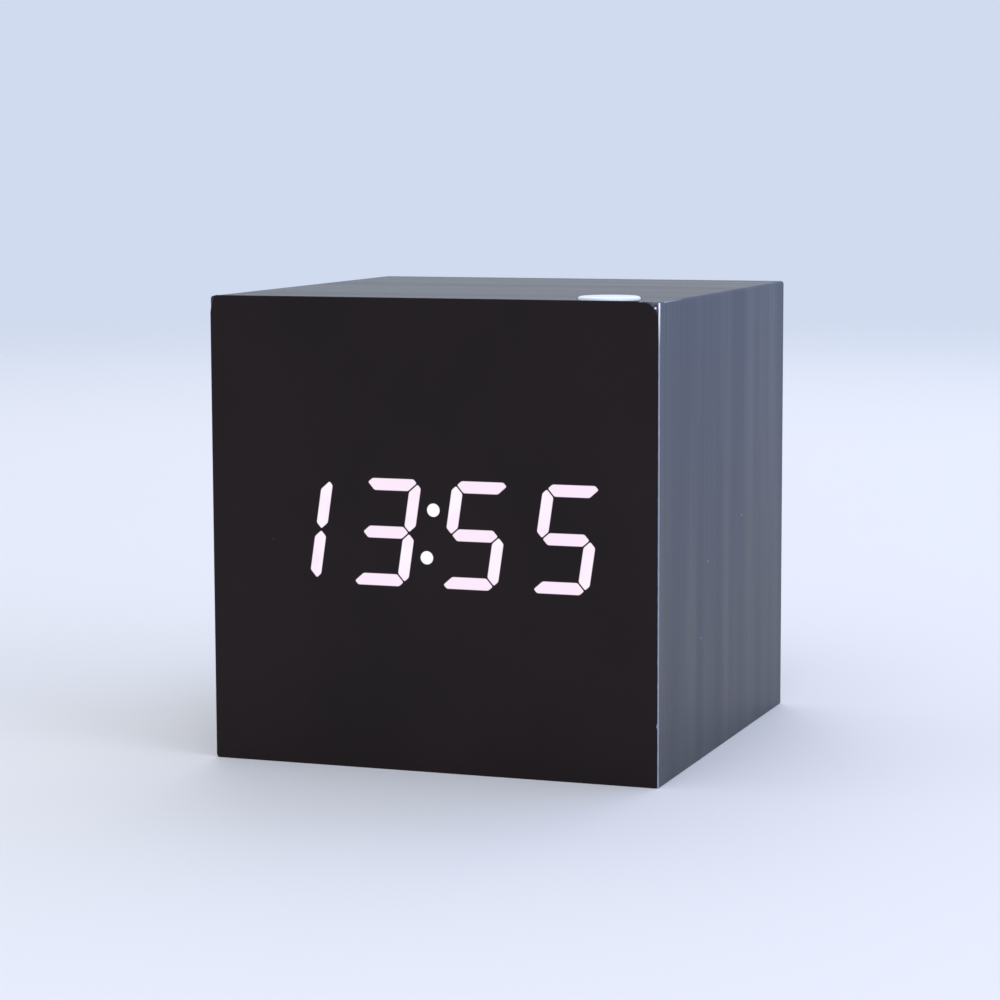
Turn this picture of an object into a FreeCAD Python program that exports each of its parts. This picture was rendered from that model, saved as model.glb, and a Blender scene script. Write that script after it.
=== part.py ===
import FreeCAD, Part
import math
import os
from FreeCAD import Vector

# Cube-shaped desk clock with a seven-segment LED display behind a dark front film.
# Millimetres. The origin is the centre of the underside, +Z is up, the display faces -Y and
# +X is to the right of someone who reads the time.

os.makedirs("parts", exist_ok=True)

# ---------------------------------------------------------------- driving dimensions
# Case: fibreboard panels with mitred edges, covered with decorative film. It is 60 mm wide and
# high because it just takes the battery bay and the display across, and the bay and the strip
# with the buttons above each other.
case_depth = 60.0
film_thickness = 0.3
board_thickness = 3.0
bay_side_gap = 0.85            # between the battery bay and the side boards
flange_side_gap = 0.7          # least, between the reflector's flange and the side boards
strip_height = 11.1            # of the strip above the bay, with the buttons and the socket
fold_radius = 0.4              # outside radius where the film folds over the two top edges
film_corner_radius = 1.4       # upper corners of the front film
base_corner_radius = 0.5       # lower corners of the front film
base_film_edge = 0.15          # softened lower edges of the base film
front_edge_bevel = 0.2         # cut edge of the front film, which catches the light
corner_block = 5.4             # square section of the glue blocks behind the rear cover
corner_block_length = 12.0

# Digits, as seen through the front film
digit_pitch = 12.0
digit_width = 8.04
digit_height = 13.85
display_lift = 0.5             # centre of the digits above the centre of the face
stroke = 1.7                   # width of a segment
corner_cut = 1.2               # chamfer at each corner of a digit
segment_gap = 0.13             # wall between two segments
slant_degrees = 8.5
colon_spread = 6.06            # between the centres of the two colon dots
colon_dot_diameter = 1.75
digits = ["bc", "abcdg", "acdfg", "acdfg"]   # segments that are lit: 1 3 5 5

# Reflector block behind the digits
block_side_margin = 1.15       # beyond the outer slanted edge of the digits
block_end_margin = 2.4         # above and below the digits
block_corner_radius = 0.9
block_clearance = 0.15         # round the block in the window of the front board
flange_reach = 1.5
flange_thickness = 1.3
mouth_depth = 1.2              # straight part of each segment well
diffuser_thickness = 1.0
lamp_gap = 0.165               # beside a lamp, in the narrow end of its well

# Circuit boards and what is on them
pcb_thickness = 1.6
display_pcb_side_gap = 1.7     # from the inside of the case
display_pcb_below_block = 0.7
display_pcb_top_gap = 1.7
led_length = 1.6
led_width = 0.8
led_height = 0.5
main_pcb_side_gap = 1.7
main_pcb_bottom_gap = 12.7
main_pcb_top_gap = 0.9
chip_legs = 8                  # on each side
chip_leg_width = 0.4
chip_leg_pitch = 1.27
chip_leg_thickness = 0.2
chip_leg_reach = 1.4
chip_leg_lift = 0.9            # leg's shoulder above the board
display_chip = (10.3, 7.5, 2.3)        # length, width, height
control_chip = (9.9, 3.9, 1.6)
control_chip_from_base = 12.0          # middle above the lower edge of the main board
buzzer_x = 13.0
buzzer_from_top = 9.8                  # middle below the upper edge of the main board
buzzer_diameter = 9.5
buzzer_height = 5.0
buzzer_hole_diameter = 2.0
capacitor_x = -11.0
capacitor_diameter = 5.0
capacitor_length = 7.0
crystal_from_chip = 4.6        # side of the chip to the middle of the crystal
crystal_diameter = 2.1
crystal_length = 6.2
socket_width = 10.6            # ribbon connector, moulded shroud
socket_height = 5.4
socket_depth = 3.8
plug_width = 8.8
plug_height = 3.6
plug_length = 6.0
plug_insertion = 3.0
ribbon_width = 7.6
ribbon_thickness = 0.9
ribbon_lead = 1.0              # straight length at each plug
ribbon_bend = 2.5              # centre-line radius at each plug
ribbon_drop = 4.0              # straight length between the bends
ribbon_x = -8.0
ribbon_from_top = 9.8          # below the upper edge of the main board

# Fasteners
cover_screw_diameter = 2.6
cover_screw_length = 9.0
cover_screw_head = 4.0
cover_screw_head_height = 1.0
cover_screw_sink = 0.2         # top of the head below the cover's face
cover_screw_head_clearance = 0.1
board_screw_diameter = 2.0
board_screw_head = 3.6
board_screw_head_height = 1.2
board_screw_spacing_x = 34.0
board_screw_bite = 2.6         # length in the boss
display_screw_diameter = 1.6
display_screw_head = 2.8
display_screw_head_height = 1.0
display_screw_bite = 3.0
display_screw_spacing_z = 10.0
screw_hole_clearance = 0.1
pilot_clearance = 0.02

# Top button, which lights the display and snoozes the alarm
top_button_diameter = 7.8
top_button_from_side = 8.1     # centre to the right-hand side
top_button_from_front = 5.25
top_button_proud = 0.45
top_button_cap = 0.8
top_button_recess = 0.5        # into the top board, below the film
top_button_clearance = 0.15
top_button_stem = 2.6
top_button_barb = 0.4          # reach of each snap ear
top_button_barb_height = 0.6
top_button_barb_width = 1.4
top_switch_width = 6.0
top_switch_depth = 3.8
top_switch_height = 4.5
top_switch_below = 3.7         # from the underside of the top board
top_switch_front_gap = 0.2     # to the front board, behind which the display board stands off
top_plunger_width = 2.0
top_plunger_proud = 1.2

# Rear buttons and their switches
button_travel = 0.3
button_diameter = 4.4
button_proud = 0.6
button_clearance = 0.15
button_flange = 5.6            # square, so that the button doesn't turn
button_flange_thickness = 1.2
button_stem = 3.2
button_pitch = 8.5
first_button_x = 3.0
guide_wall = 0.8               # least wall of the bar that guides the buttons
guide_depth = 3.0
switch_width = 6.0
switch_height = 3.5
plunger_width = 3.0
plunger_proud = 1.5
plunger_root = 2.0             # length inside the switch
plunger_clearance = 0.08
plunger_overtravel = 0.3       # left below the plunger when it is pressed

# Power socket
socket_x = 13.0
jack_body = 7.4
jack_body_length = 11.0
jack_nose_diameter = 6.4
jack_nose_clearance = 0.2
jack_nose_inset = 0.2
jack_bore = 3.6
jack_bore_depth = 9.5
jack_pin_diameter = 1.3
jack_pin_length = 8.5

# Rear cover, battery bay and door
cover_inset = 0.8              # below the rear edge of the case
cover_thickness = 1.8
cover_clearance = 0.15
cover_bevel = 0.3
cell_diameter = 10.5
cell_length = 44.5
cell_count = 3
cell_nub_diameter = 3.8
cell_nub_height = 1.2
cell_clearance = 0.4           # between cells and to the bay
cell_door_gap = 0.35
bay_wall = 1.8
bay_floor = 1.2
bay_above_blocks = 0.2
boss_width = 4.4
boss_height = 2.0
spring_length = 2.8            # between its plate and the cell
spring_wire = 0.45
spring_base_diameter = 7.0
spring_tip_diameter = 3.6
spring_turns = 3
spring_facets = 10             # flats in each turn
spring_wire_facets = 4
contact_thickness = 0.4
contact_height = 9.8
contact_rise = 9.8             # from the bay's floor towards the door
tail_width = 1.6
tail_proud = 0.8
tail_clearance = 0.1
door_ledge = 0.8
door_clearance = 0.2
door_top_clearance = 0.45
door_tongue_width = 6.0
door_tongue_thickness = 1.0
door_tongue_drop = 1.4
door_tongue_spacing = 28.0
door_tongue_clearance = 0.3
door_tongue_swing = 2.5
latch_width = 10.0
latch_length = 9.0
latch_slit = 0.6
latch_thinning = 0.6
latch_nose = 0.3
latch_nose_length = 6.0
grip_rib_count = 3
grip_rib_pitch = 1.6
grip_rib_width = 0.7
grip_rib_height = 0.4
grip_rib_bevel = 0.13
grip_rib_length = 7.0
scoop_radius = 6.0
scoop_depth = 0.9
scoop_width = 8.0
sound_slot_width = 1.0
sound_slot_height = 3.0
sound_slot_count = 7
sound_slot_pitch = 2.2

# ---------------------------------------------------------------- places worked out from them
hair = 1e-4                    # lengths closer than this are the same
overshoot = 1.0                # how far a cutting shape runs past the face that it cuts
slant = math.tan(math.radians(slant_degrees))
digit_centres = [(place - (len(digits) - 1) / 2) * digit_pitch for place in range(len(digits))]
block_half = digit_centres[-1] + digit_width / 2 + digit_height / 2 * slant + block_side_margin
block_rise = digit_height / 2 + block_end_margin
well_taper = (stroke - segment_gap - led_width) / 2 - lamp_gap     # drawn in on every side of a well
bay_half = (cell_length + spring_length) / 2 + contact_thickness
bay_outer = bay_half + bay_wall

inner_half = max(bay_outer + bay_side_gap, block_half + flange_reach + flange_side_gap)
core_half = inner_half + board_thickness           # outside of the boards
half_width = core_half + film_thickness
inner_base = film_thickness + board_thickness
bay_base = inner_base + corner_block + bay_above_blocks + bay_wall
cell_pitch = cell_diameter + cell_clearance
bay_top = bay_base + cell_count * cell_pitch + cell_clearance
cell_rows = [bay_base + cell_clearance + cell_diameter / 2 + row * cell_pitch for row in range(cell_count)]
strip_z = bay_top + bay_wall + strip_height / 2
inner_top = bay_top + bay_wall + strip_height
core_top = inner_top + board_thickness
case_height = core_top + film_thickness
front = -case_depth / 2
back = case_depth / 2
core_front = front + film_thickness
core_back = back - film_thickness
inner_front = core_front + board_thickness

display_z = case_height / 2 + display_lift
block_back = inner_front + top_switch_front_gap + top_switch_depth
display_pcb_back = block_back + pcb_thickness

cover_outer = back - cover_inset
cover_inner = cover_outer - cover_thickness
cover_screw_seat = cover_outer - cover_screw_sink - cover_screw_head_height
cell_y = cover_inner - cell_door_gap - cell_diameter / 2
bay_floor_y = cell_y - cell_diameter / 2 - cell_door_gap
bay_front = bay_floor_y - bay_floor
main_pcb_rear = bay_front - boss_height
main_pcb_front = main_pcb_rear - pcb_thickness
main_pcb_base = inner_base + main_pcb_bottom_gap
main_pcb_top = inner_top - main_pcb_top_gap
control_chip_z = main_pcb_base + control_chip_from_base
buzzer_z = main_pcb_top - buzzer_from_top
ribbon_z = main_pcb_top - ribbon_from_top

button_names = ["set", "up", "down"]
button_x = {name: first_button_x - place * button_pitch for place, name in enumerate(button_names)}
plunger_tip = main_pcb_rear + switch_height + plunger_proud
top_button_x = half_width - top_button_from_side
top_button_y = front + top_button_from_front
top_switch_top = inner_top - top_switch_below
block_x = inner_half - corner_block / 2
block_z = [inner_base + corner_block / 2, inner_top - corner_block / 2]
boss_z = [(cell_rows[0] + cell_rows[1]) / 2, (cell_rows[-2] + cell_rows[-1]) / 2]
boss_places = [(side * board_screw_spacing_x / 2, z) for side, z in zip((1, -1), boss_z)]
door_base = bay_base - door_ledge
door_top = bay_top + door_ledge
hinge_y = cover_inner + cover_thickness / 2
hinge_z = door_base + cover_thickness / 2

nodes = {}


# ---------------------------------------------------------------- shapes
def box(x0, x1, y0, y1, z0, z1):
    return Part.makeBox(x1 - x0, y1 - y0, z1 - z0, Vector(x0, y0, z0))


def rod(diameter, start, end):
    """A round bar between two points."""
    return Part.makeCylinder(diameter / 2, (end - start).Length, start, end - start)


def rod_y(diameter, x, z, y0, y1):
    """A round bar along Y."""
    return rod(diameter, Vector(x, y0, z), Vector(x, y1, z))


def face_of(points):
    return Part.Face(Part.makePolygon(list(points) + [points[0]]))


def prism(points, direction):
    return face_of(points).extrude(direction)


def tapered(first, second):
    """A solid with flat sides between two outlines whose edges are parallel, pair by pair."""
    sides = []
    for corner in range(len(first)):
        following = (corner + 1) % len(first)
        sides.append(face_of([first[corner], first[following], second[following], second[corner]]))
    solid = Part.Solid(Part.Shell([face_of(first), face_of(second)] + sides))
    if solid.Volume < 0:
        solid.reverse()
    return solid


def edges_along(shape, axis):
    """The straight edges that run along one axis: X, Y or Z."""
    return [edge for edge in shape.Edges
            if edge.BoundBox.DiagonalLength - getattr(edge.BoundBox, axis + "Length") < hair]


def edges_at(shape, axis, place):
    """The edges that lie in the plane where one coordinate is a given value."""
    return [edge for edge in shape.Edges
            if abs(getattr(edge.BoundBox, axis + "Min") - place) < hair
            and abs(getattr(edge.BoundBox, axis + "Max") - place) < hair]


def rounded_plate(x0, x1, y0, y1, z0, z1, top_radius, base_radius):
    """A plate that faces Y, with its upper and lower corners rounded."""
    plate = box(x0, x1, y0, y1, z0, z1)
    for radius, place in ((top_radius, z1), (base_radius, z0)):
        corners = [edge for edge in edges_along(plate, "Y") if abs(edge.BoundBox.ZMin - place) < hair]
        plate = plate.makeFillet(radius, corners)
    return plate


def case_core():
    """What the films enclose: the outside of the boards, with the folds' inner radius on top."""
    core = box(-core_half, core_half, core_front, core_back, film_thickness, core_top)
    folds = [edge for edge in edges_along(core, "Y") if abs(edge.BoundBox.ZMin - core_top) < hair]
    return core.makeFillet(fold_radius - film_thickness, folds)


# ---------------------------------------------------------------- case
def top_button_opening():
    """The stepped hole for the top button, through the film and the top board."""
    cap_hole = top_button_diameter + 2 * top_button_clearance
    stem_hole = top_button_stem + 2 * top_button_clearance
    centre = Vector(top_button_x, top_button_y, 0)
    recess = rod(cap_hole, centre + Vector(0, 0, core_top - top_button_recess),
                 centre + Vector(0, 0, case_height + overshoot))
    bore = rod(stem_hole, centre + Vector(0, 0, inner_top - overshoot), centre + Vector(0, 0, case_height))
    return recess.fuse(bore)


def display_window():
    half = block_half + block_clearance
    rise = block_rise + block_clearance
    corner = block_corner_radius + block_clearance
    return rounded_plate(-half, half, core_front - overshoot, inner_front + overshoot,
                         display_z - rise, display_z + rise, corner, corner)


def case_boards():
    core = case_core()
    outer_x, inner_x = core_half, inner_half
    base, top = film_thickness, core_top

    def upright(y, half, low, high):
        return [Vector(-half, y, low), Vector(half, y, low), Vector(half, y, high), Vector(-half, y, high)]

    def flat(z, half, start):
        return [Vector(-half, start, z), Vector(half, start, z),
                Vector(half, core_back, z), Vector(-half, core_back, z)]

    def side(x, start, low, high):
        return [Vector(x, start, low), Vector(x, core_back, low),
                Vector(x, core_back, high), Vector(x, start, high)]

    front_board = tapered(upright(core_front, outer_x, base, top),
                          upright(inner_front, inner_x, inner_base, inner_top))
    top_board = tapered(flat(top, outer_x, core_front), flat(inner_top, inner_x, inner_front))
    bottom_board = tapered(flat(base, outer_x, core_front), flat(inner_base, inner_x, inner_front))
    nodes["front_board"] = front_board.common(core).cut(display_window())
    nodes["top_board"] = top_board.common(core).cut(top_button_opening())
    nodes["bottom_board"] = bottom_board
    for name, sign in (("left_board", -1), ("right_board", 1)):
        board = tapered(side(sign * outer_x, core_front, base, top),
                        side(sign * inner_x, inner_front, inner_base, inner_top))
        nodes[name] = board.common(core)


def case_films():
    sheet = rounded_plate(-half_width, half_width, front, core_front, 0, case_height,
                          film_corner_radius, base_corner_radius)
    nodes["front_film"] = sheet.makeChamfer(front_edge_bevel, edges_at(sheet, "Y", front))

    outside = box(-half_width, half_width, core_front, back, film_thickness, case_height)
    folds = [edge for edge in edges_along(outside, "Y") if abs(edge.BoundBox.ZMin - case_height) < hair]
    outside = outside.makeFillet(fold_radius, folds)
    core = case_core()
    turned_edge = core.copy()
    turned_edge.translate(Vector(0, film_thickness, 0))
    nodes["wrap_film"] = outside.cut(core).cut(turned_edge).cut(top_button_opening())

    base = box(-half_width, half_width, core_front, back, 0, film_thickness)
    lower = [edge for edge in edges_along(base, "Y") if edge.BoundBox.ZMax < hair]
    nodes["base_film"] = base.makeFillet(base_film_edge, lower)

    opening = box(-inner_half, inner_half, 0, back + overshoot, inner_base, inner_top)
    ring = turned_edge.cut(core).cut(opening)
    nodes["rear_edge_film"] = ring


def corner_blocks():
    blocks = []
    for side in (-1, 1):
        for z in block_z:
            x = side * block_x
            block = box(x - corner_block / 2, x + corner_block / 2,
                        cover_inner - corner_block_length, cover_inner,
                        z - corner_block / 2, z + corner_block / 2)
            pilot = rod_y(cover_screw_diameter + 2 * pilot_clearance, x, z,
                          cover_screw_seat - cover_screw_length, cover_inner + overshoot)
            blocks.append(block.cut(pilot))
    nodes["corner_blocks"] = blocks


# ---------------------------------------------------------------- display
def upright_segments():
    """The seven segments of an upright digit about its centre, as outlines with x and z."""
    side, top, half = digit_width / 2, digit_height / 2, stroke / 2
    tip_x, tip_z = side - corner_cut / 2, top - corner_cut / 2
    inside_x, inside_z = side - stroke, top - stroke
    top_bar = [(corner_cut - side, top), (side - corner_cut, top), (tip_x, tip_z),
               (inside_x, inside_z), (-inside_x, inside_z), (-tip_x, tip_z)]
    right_bar = [(tip_x, tip_z), (side, top - corner_cut), (side, half),
                 (side - half, 0), (inside_x, half), (inside_x, inside_z)]
    middle_bar = [(-inside_x, half), (inside_x, half), (side - half, 0),
                  (inside_x, -half), (-inside_x, -half), (half - side, 0)]

    def mirrored(points, across, down):
        turned = [(x * across, z * down) for x, z in points]
        return turned if across * down > 0 else turned[::-1]

    return {"a": top_bar, "b": right_bar, "c": mirrored(right_bar, 1, -1),
            "d": mirrored(top_bar, 1, -1), "e": mirrored(right_bar, -1, -1),
            "f": mirrored(right_bar, -1, 1), "g": middle_bar}


def inset(points, distance):
    """A convex outline moved inwards by a distance."""
    moved = []
    for before, point, after in zip(points[-1:] + points[:-1], points, points[1:] + points[:1]):
        arriving = (point - before).normalize()
        leaving = (after - point).normalize()
        inwards = (leaving - arriving).normalize()
        half_corner = math.sqrt((1 + arriving.dot(leaving)) / 2)
        moved.append(point + inwards * (distance / half_corner))
    return moved


def placed(points, centre_x, y):
    """Corners of an outline slanted and set on the display at one depth."""
    return [Vector(centre_x + x + z * slant, y, display_z + z) for x, z in points]


def segment_mouth(points, centre_x, y):
    return inset(placed(points, centre_x, y), segment_gap / 2)


def segment_floor(points, centre_x, y):
    """The smaller outline round the lamp, at the back of a segment's well."""
    return inset(placed(points, centre_x, y), segment_gap / 2 + well_taper)


def colon_places():
    return [Vector(side * colon_spread / 2 * slant, 0, display_z + side * colon_spread / 2)
            for side in (-1, 1)]


def display_screw_places():
    """High between the first two digits and low between the last two, following their slant."""
    places = []
    for left, right, side in ((0, 1, 1), (-2, -1, -1)):
        middle = (digit_centres[left] + digit_centres[right]) / 2
        rise = side * display_screw_spacing_z / 2
        places.append((middle + rise * slant, display_z + rise))
    return places


def reflector_and_segments():
    wells, lit, unlit = [], [], []
    for centre_x, shown in zip(digit_centres, digits):
        for name, points in upright_segments().items():
            mouth = segment_mouth(points, centre_x, core_front - overshoot)
            wells.append(prism(mouth, Vector(0, mouth_depth + overshoot, 0)))
            wells.append(tapered(segment_mouth(points, centre_x, core_front + mouth_depth),
                                 segment_floor(points, centre_x, block_back)))
            diffuser = prism(segment_mouth(points, centre_x, core_front),
                             Vector(0, diffuser_thickness, 0))
            (lit if name in shown else unlit).append(diffuser)
    dots = []
    for place in colon_places():
        wells.append(rod_y(colon_dot_diameter, place.x, place.z, core_front - overshoot,
                           block_back + overshoot))
        dots.append(rod_y(colon_dot_diameter, place.x, place.z, core_front,
                          core_front + diffuser_thickness))

    body = rounded_plate(-block_half, block_half, core_front, block_back,
                         display_z - block_rise, display_z + block_rise,
                         block_corner_radius, block_corner_radius)
    flange = box(-block_half - flange_reach, block_half + flange_reach,
                 inner_front, inner_front + flange_thickness,
                 display_z - block_rise - flange_reach, display_z + block_rise + flange_reach)
    pilots = [rod_y(display_screw_diameter + 2 * pilot_clearance, x, z,
                    block_back - display_screw_bite - overshoot, block_back + overshoot)
              for x, z in display_screw_places()]
    nodes["reflector_block"] = body.fuse(flange).cut(wells + pilots)
    nodes["lit_segments"] = lit
    nodes["unlit_segments"] = unlit
    nodes["colon_dots"] = dots


def display_board():
    half = inner_half - display_pcb_side_gap
    base = display_z - block_rise - display_pcb_below_block
    top = inner_top - display_pcb_top_gap
    board = box(-half, half, block_back, display_pcb_back, base, top)
    holes = [rod_y(display_screw_diameter + 2 * screw_hole_clearance, x, z,
                   block_back - overshoot, display_pcb_back + overshoot)
             for x, z in display_screw_places()]
    nodes["display_board"] = board.cut(holes)

    lamps = []
    for centre_x in digit_centres:
        for points in upright_segments().values():
            corners = segment_floor(points, centre_x, block_back)
            outline = Part.makePolygon(corners).BoundBox
            long_x = outline.XLength > outline.ZLength
            size_x, size_z = (led_length, led_width) if long_x else (led_width, led_length)
            lamps.append(lamp(outline.Center.x, outline.Center.z, size_x, size_z))
    for place in colon_places():
        lamps.append(lamp(place.x, place.z, led_width, led_width))
    nodes["display_leds"] = lamps


def lamp(x, z, size_x, size_z):
    """A chip LED on the front of the display board."""
    return box(x - size_x / 2, x + size_x / 2, block_back - led_height, block_back,
               z - size_z / 2, z + size_z / 2)


def chip(sizes, x, z, board_face, outwards):
    """A surface-mounted chip with bent legs; outwards is the Y direction away from its board."""
    length, width, height = sizes
    low, high = sorted((board_face + outwards * 2 * chip_leg_thickness, board_face + outwards * height))
    body = box(x - length / 2, x + length / 2, low, high, z - width / 2, z + width / 2)
    shoulder = board_face + outwards * (chip_leg_lift + chip_leg_thickness)
    under_shoulder = board_face + outwards * chip_leg_lift
    sole = board_face + outwards * chip_leg_thickness
    for side in (-1, 1):
        root = z + side * (width / 2 - chip_leg_thickness)
        knee = z + side * (width / 2 + chip_leg_reach / 2)
        toe = z + side * (width / 2 + chip_leg_reach)
        heel = knee - side * chip_leg_thickness
        profile = [(shoulder, root), (shoulder, knee), (sole, knee), (sole, toe),
                   (board_face, toe), (board_face, heel), (under_shoulder, heel), (under_shoulder, root)]
        for leg in range(chip_legs):
            leg_x = x + (leg - (chip_legs - 1) / 2) * chip_leg_pitch - chip_leg_width / 2
            corners = [Vector(leg_x, y, along) for y, along in profile]
            body = body.fuse(prism(corners, Vector(chip_leg_width, 0, 0)))
    return body.removeSplitter()


def headed_screws(places, seat_y, outwards, diameter, head, head_height, reach):
    """Screws whose heads bear on a face at seat_y and point outwards along Y."""
    screws = []
    for x, z in places:
        crown = rod_y(head, x, z, seat_y, seat_y + outwards * head_height)
        screws.append(crown.fuse(rod_y(diameter, x, z, seat_y - outwards * reach, seat_y)))
    return screws


def display_electronics():
    nodes["display_driver"] = chip(display_chip, 0, display_z, display_pcb_back, 1)
    nodes["display_screws"] = headed_screws(display_screw_places(), display_pcb_back, 1,
                                            display_screw_diameter, display_screw_head,
                                            display_screw_head_height,
                                            pcb_thickness + display_screw_bite)


# ---------------------------------------------------------------- top button
def top_button():
    x, y = top_button_x, top_button_y
    crown = case_height + top_button_proud
    cap_base = crown - top_button_cap
    stem_end = top_switch_top + top_plunger_proud
    cap = rod(top_button_diameter, Vector(x, y, cap_base), Vector(x, y, crown))
    stem = rod(top_button_stem, Vector(x, y, stem_end), Vector(x, y, cap_base))
    barb_top = inner_top - top_button_clearance
    ears = []
    for side in (-1, 1):
        tip = x + side * (top_button_stem / 2 + top_button_barb)
        start = y - top_button_barb_width / 2
        profile = [Vector(x, start, barb_top - top_button_barb_height), Vector(tip, start, barb_top),
                   Vector(x, start, barb_top)]
        ears.append(prism(profile, Vector(0, top_button_barb_width, 0)))
    nodes["top_button"] = cap.fuse([stem] + ears).removeSplitter()

    body = box(x - top_switch_width / 2, x + top_switch_width / 2, block_back - top_switch_depth, block_back,
               top_switch_top - top_switch_height, top_switch_top)

    def bar(width, low, high):
        return box(x - width / 2, x + width / 2, y - width / 2, y + width / 2, low, high)

    well_floor = top_switch_top - plunger_root - button_travel - plunger_overtravel
    nodes["top_switch"] = body.cut(bar(top_plunger_width + 2 * plunger_clearance, well_floor,
                                       top_switch_top + overshoot))
    nodes["top_switch_plunger"] = bar(top_plunger_width, top_switch_top - plunger_root, stem_end)


# ---------------------------------------------------------------- rear buttons and main board
def square_bar_y(width, x, z, y0, y1):
    """A square bar along Y."""
    return box(x - width / 2, x + width / 2, y0, y1, z - width / 2, z + width / 2)


def rear_buttons():
    bodies = []
    for name, x in button_x.items():
        cap_end = cover_outer + button_proud
        flange_rear = cover_inner - button_clearance
        cap = rod_y(button_diameter, x, strip_z, flange_rear, cap_end)
        flange = square_bar_y(button_flange, x, strip_z, flange_rear - button_flange_thickness, flange_rear)
        stem = rod_y(button_stem, x, strip_z, plunger_tip, flange_rear)
        nodes[name + "_button"] = cap.fuse([flange, stem]).removeSplitter()

        switch_top = main_pcb_rear + switch_height
        body = square_bar_y(switch_width, x, strip_z, main_pcb_rear, switch_top)
        well_floor = switch_top - plunger_root - button_travel - plunger_overtravel
        bodies.append(body.cut(square_bar_y(plunger_width + 2 * plunger_clearance, x, strip_z,
                                            well_floor, switch_top + overshoot)))
        nodes[name + "_switch_plunger"] = square_bar_y(plunger_width, x, strip_z,
                                                       switch_top - plunger_root, plunger_tip)
    nodes["rear_switches"] = bodies


def terminal_tail_slots(clearance, y0, y1):
    """Slots for the solder tails of the two terminals."""
    slots = []
    for side, z in ((1, cell_rows[-1]), (-1, cell_rows[0])):
        middle = side * (bay_half - contact_thickness / 2)
        half = contact_thickness / 2 + clearance
        slots.append(box(middle - half, middle + half, y0, y1,
                         z - tail_width / 2 - clearance, z + tail_width / 2 + clearance))
    return slots


def main_board():
    half = inner_half - main_pcb_side_gap
    board = box(-half, half, main_pcb_front, main_pcb_rear, main_pcb_base, main_pcb_top)
    holes = [rod_y(board_screw_diameter + 2 * screw_hole_clearance, x, z,
                   main_pcb_front - overshoot, main_pcb_rear + overshoot)
             for x, z in boss_places]
    slots = terminal_tail_slots(tail_clearance, main_pcb_front - overshoot, main_pcb_rear + overshoot)
    nodes["main_board"] = board.cut(holes + slots)
    nodes["main_board_screws"] = headed_screws(boss_places, main_pcb_front, -1, board_screw_diameter,
                                               board_screw_head, board_screw_head_height,
                                               pcb_thickness + board_screw_bite)


def main_board_parts():
    face = main_pcb_front
    nodes["control_chip"] = chip(control_chip, 0, control_chip_z, face, -1)

    buzzer = rod_y(buzzer_diameter, buzzer_x, buzzer_z, face - buzzer_height, face)
    nodes["alarm_buzzer"] = buzzer.cut(rod_y(buzzer_hole_diameter, buzzer_x, buzzer_z,
                                             face - buzzer_height - overshoot, face - buzzer_height / 2))

    nodes["supply_capacitor"] = rod_y(capacitor_diameter, capacitor_x, boss_z[0],
                                      face - capacitor_length, face)

    crystal_x = control_chip[0] / 2 + crystal_from_chip
    crystal_y = face - crystal_diameter / 2
    nodes["clock_crystal"] = rod(crystal_diameter,
                                 Vector(crystal_x, crystal_y, control_chip_z - crystal_length / 2),
                                 Vector(crystal_x, crystal_y, control_chip_z + crystal_length / 2))


def ribbon_connection():
    """A flat ribbon with a plug at each end, in shrouded sockets on the two boards."""
    sockets, plugs, ends = [], [], []
    for face, outwards in ((main_pcb_front, -1), (display_pcb_back, 1)):
        def span(start, end):
            return sorted((face + outwards * start, face + outwards * end))

        def block(width, height, start, end):
            low, high = span(start, end)
            return box(ribbon_x - width / 2, ribbon_x + width / 2, low, high,
                       ribbon_z - height / 2, ribbon_z + height / 2)

        pocket_floor = socket_depth - plug_insertion
        shroud = block(socket_width, socket_height, 0, socket_depth)
        sockets.append(shroud.cut(block(plug_width, plug_height, pocket_floor, socket_depth + overshoot)))
        plugs.append(block(plug_width, plug_height, pocket_floor, pocket_floor + plug_length))
        ends.append(face + outwards * (pocket_floor + plug_length))
    nodes["ribbon_sockets"] = sockets
    nodes["ribbon_plugs"] = plugs

    rear, fore = ends
    loop = (rear - fore) / 2 - ribbon_lead - ribbon_bend
    middle = (rear + fore) / 2
    low = ribbon_z - ribbon_bend - ribbon_drop
    diagonal = ribbon_bend * math.sqrt(0.5)

    def at(y, z):
        return Vector(ribbon_x, y, z)

    def arc(start, through, end):
        return Part.Arc(start, through, end).toShape()

    edges = []
    for side in (1, -1):
        end_y = middle + side * (loop + ribbon_bend + ribbon_lead)
        bend_y = middle + side * (loop + ribbon_bend)
        side_edges = [Part.LineSegment(at(end_y, ribbon_z), at(bend_y, ribbon_z)).toShape(),
                      arc(at(bend_y, ribbon_z),
                          at(bend_y - side * diagonal, ribbon_z - ribbon_bend + diagonal),
                          at(middle + side * loop, ribbon_z - ribbon_bend)),
                      Part.LineSegment(at(middle + side * loop, ribbon_z - ribbon_bend),
                                       at(middle + side * loop, low)).toShape()]
        edges.append(side_edges)
    bottom = arc(at(middle + loop, low), at(middle, low - loop), at(middle - loop, low))
    path = Part.Wire(Part.__sortEdges__(edges[0] + [bottom] + edges[1]))
    half_width_x, half_height_z = ribbon_width / 2, ribbon_thickness / 2
    section = Part.makePolygon([Vector(ribbon_x + x * half_width_x, rear, ribbon_z + z * half_height_z)
                                for x, z in ((-1, -1), (1, -1), (1, 1), (-1, 1), (-1, -1))])
    nodes["link_ribbon"] = path.makePipeShell([section], True, False)


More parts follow.
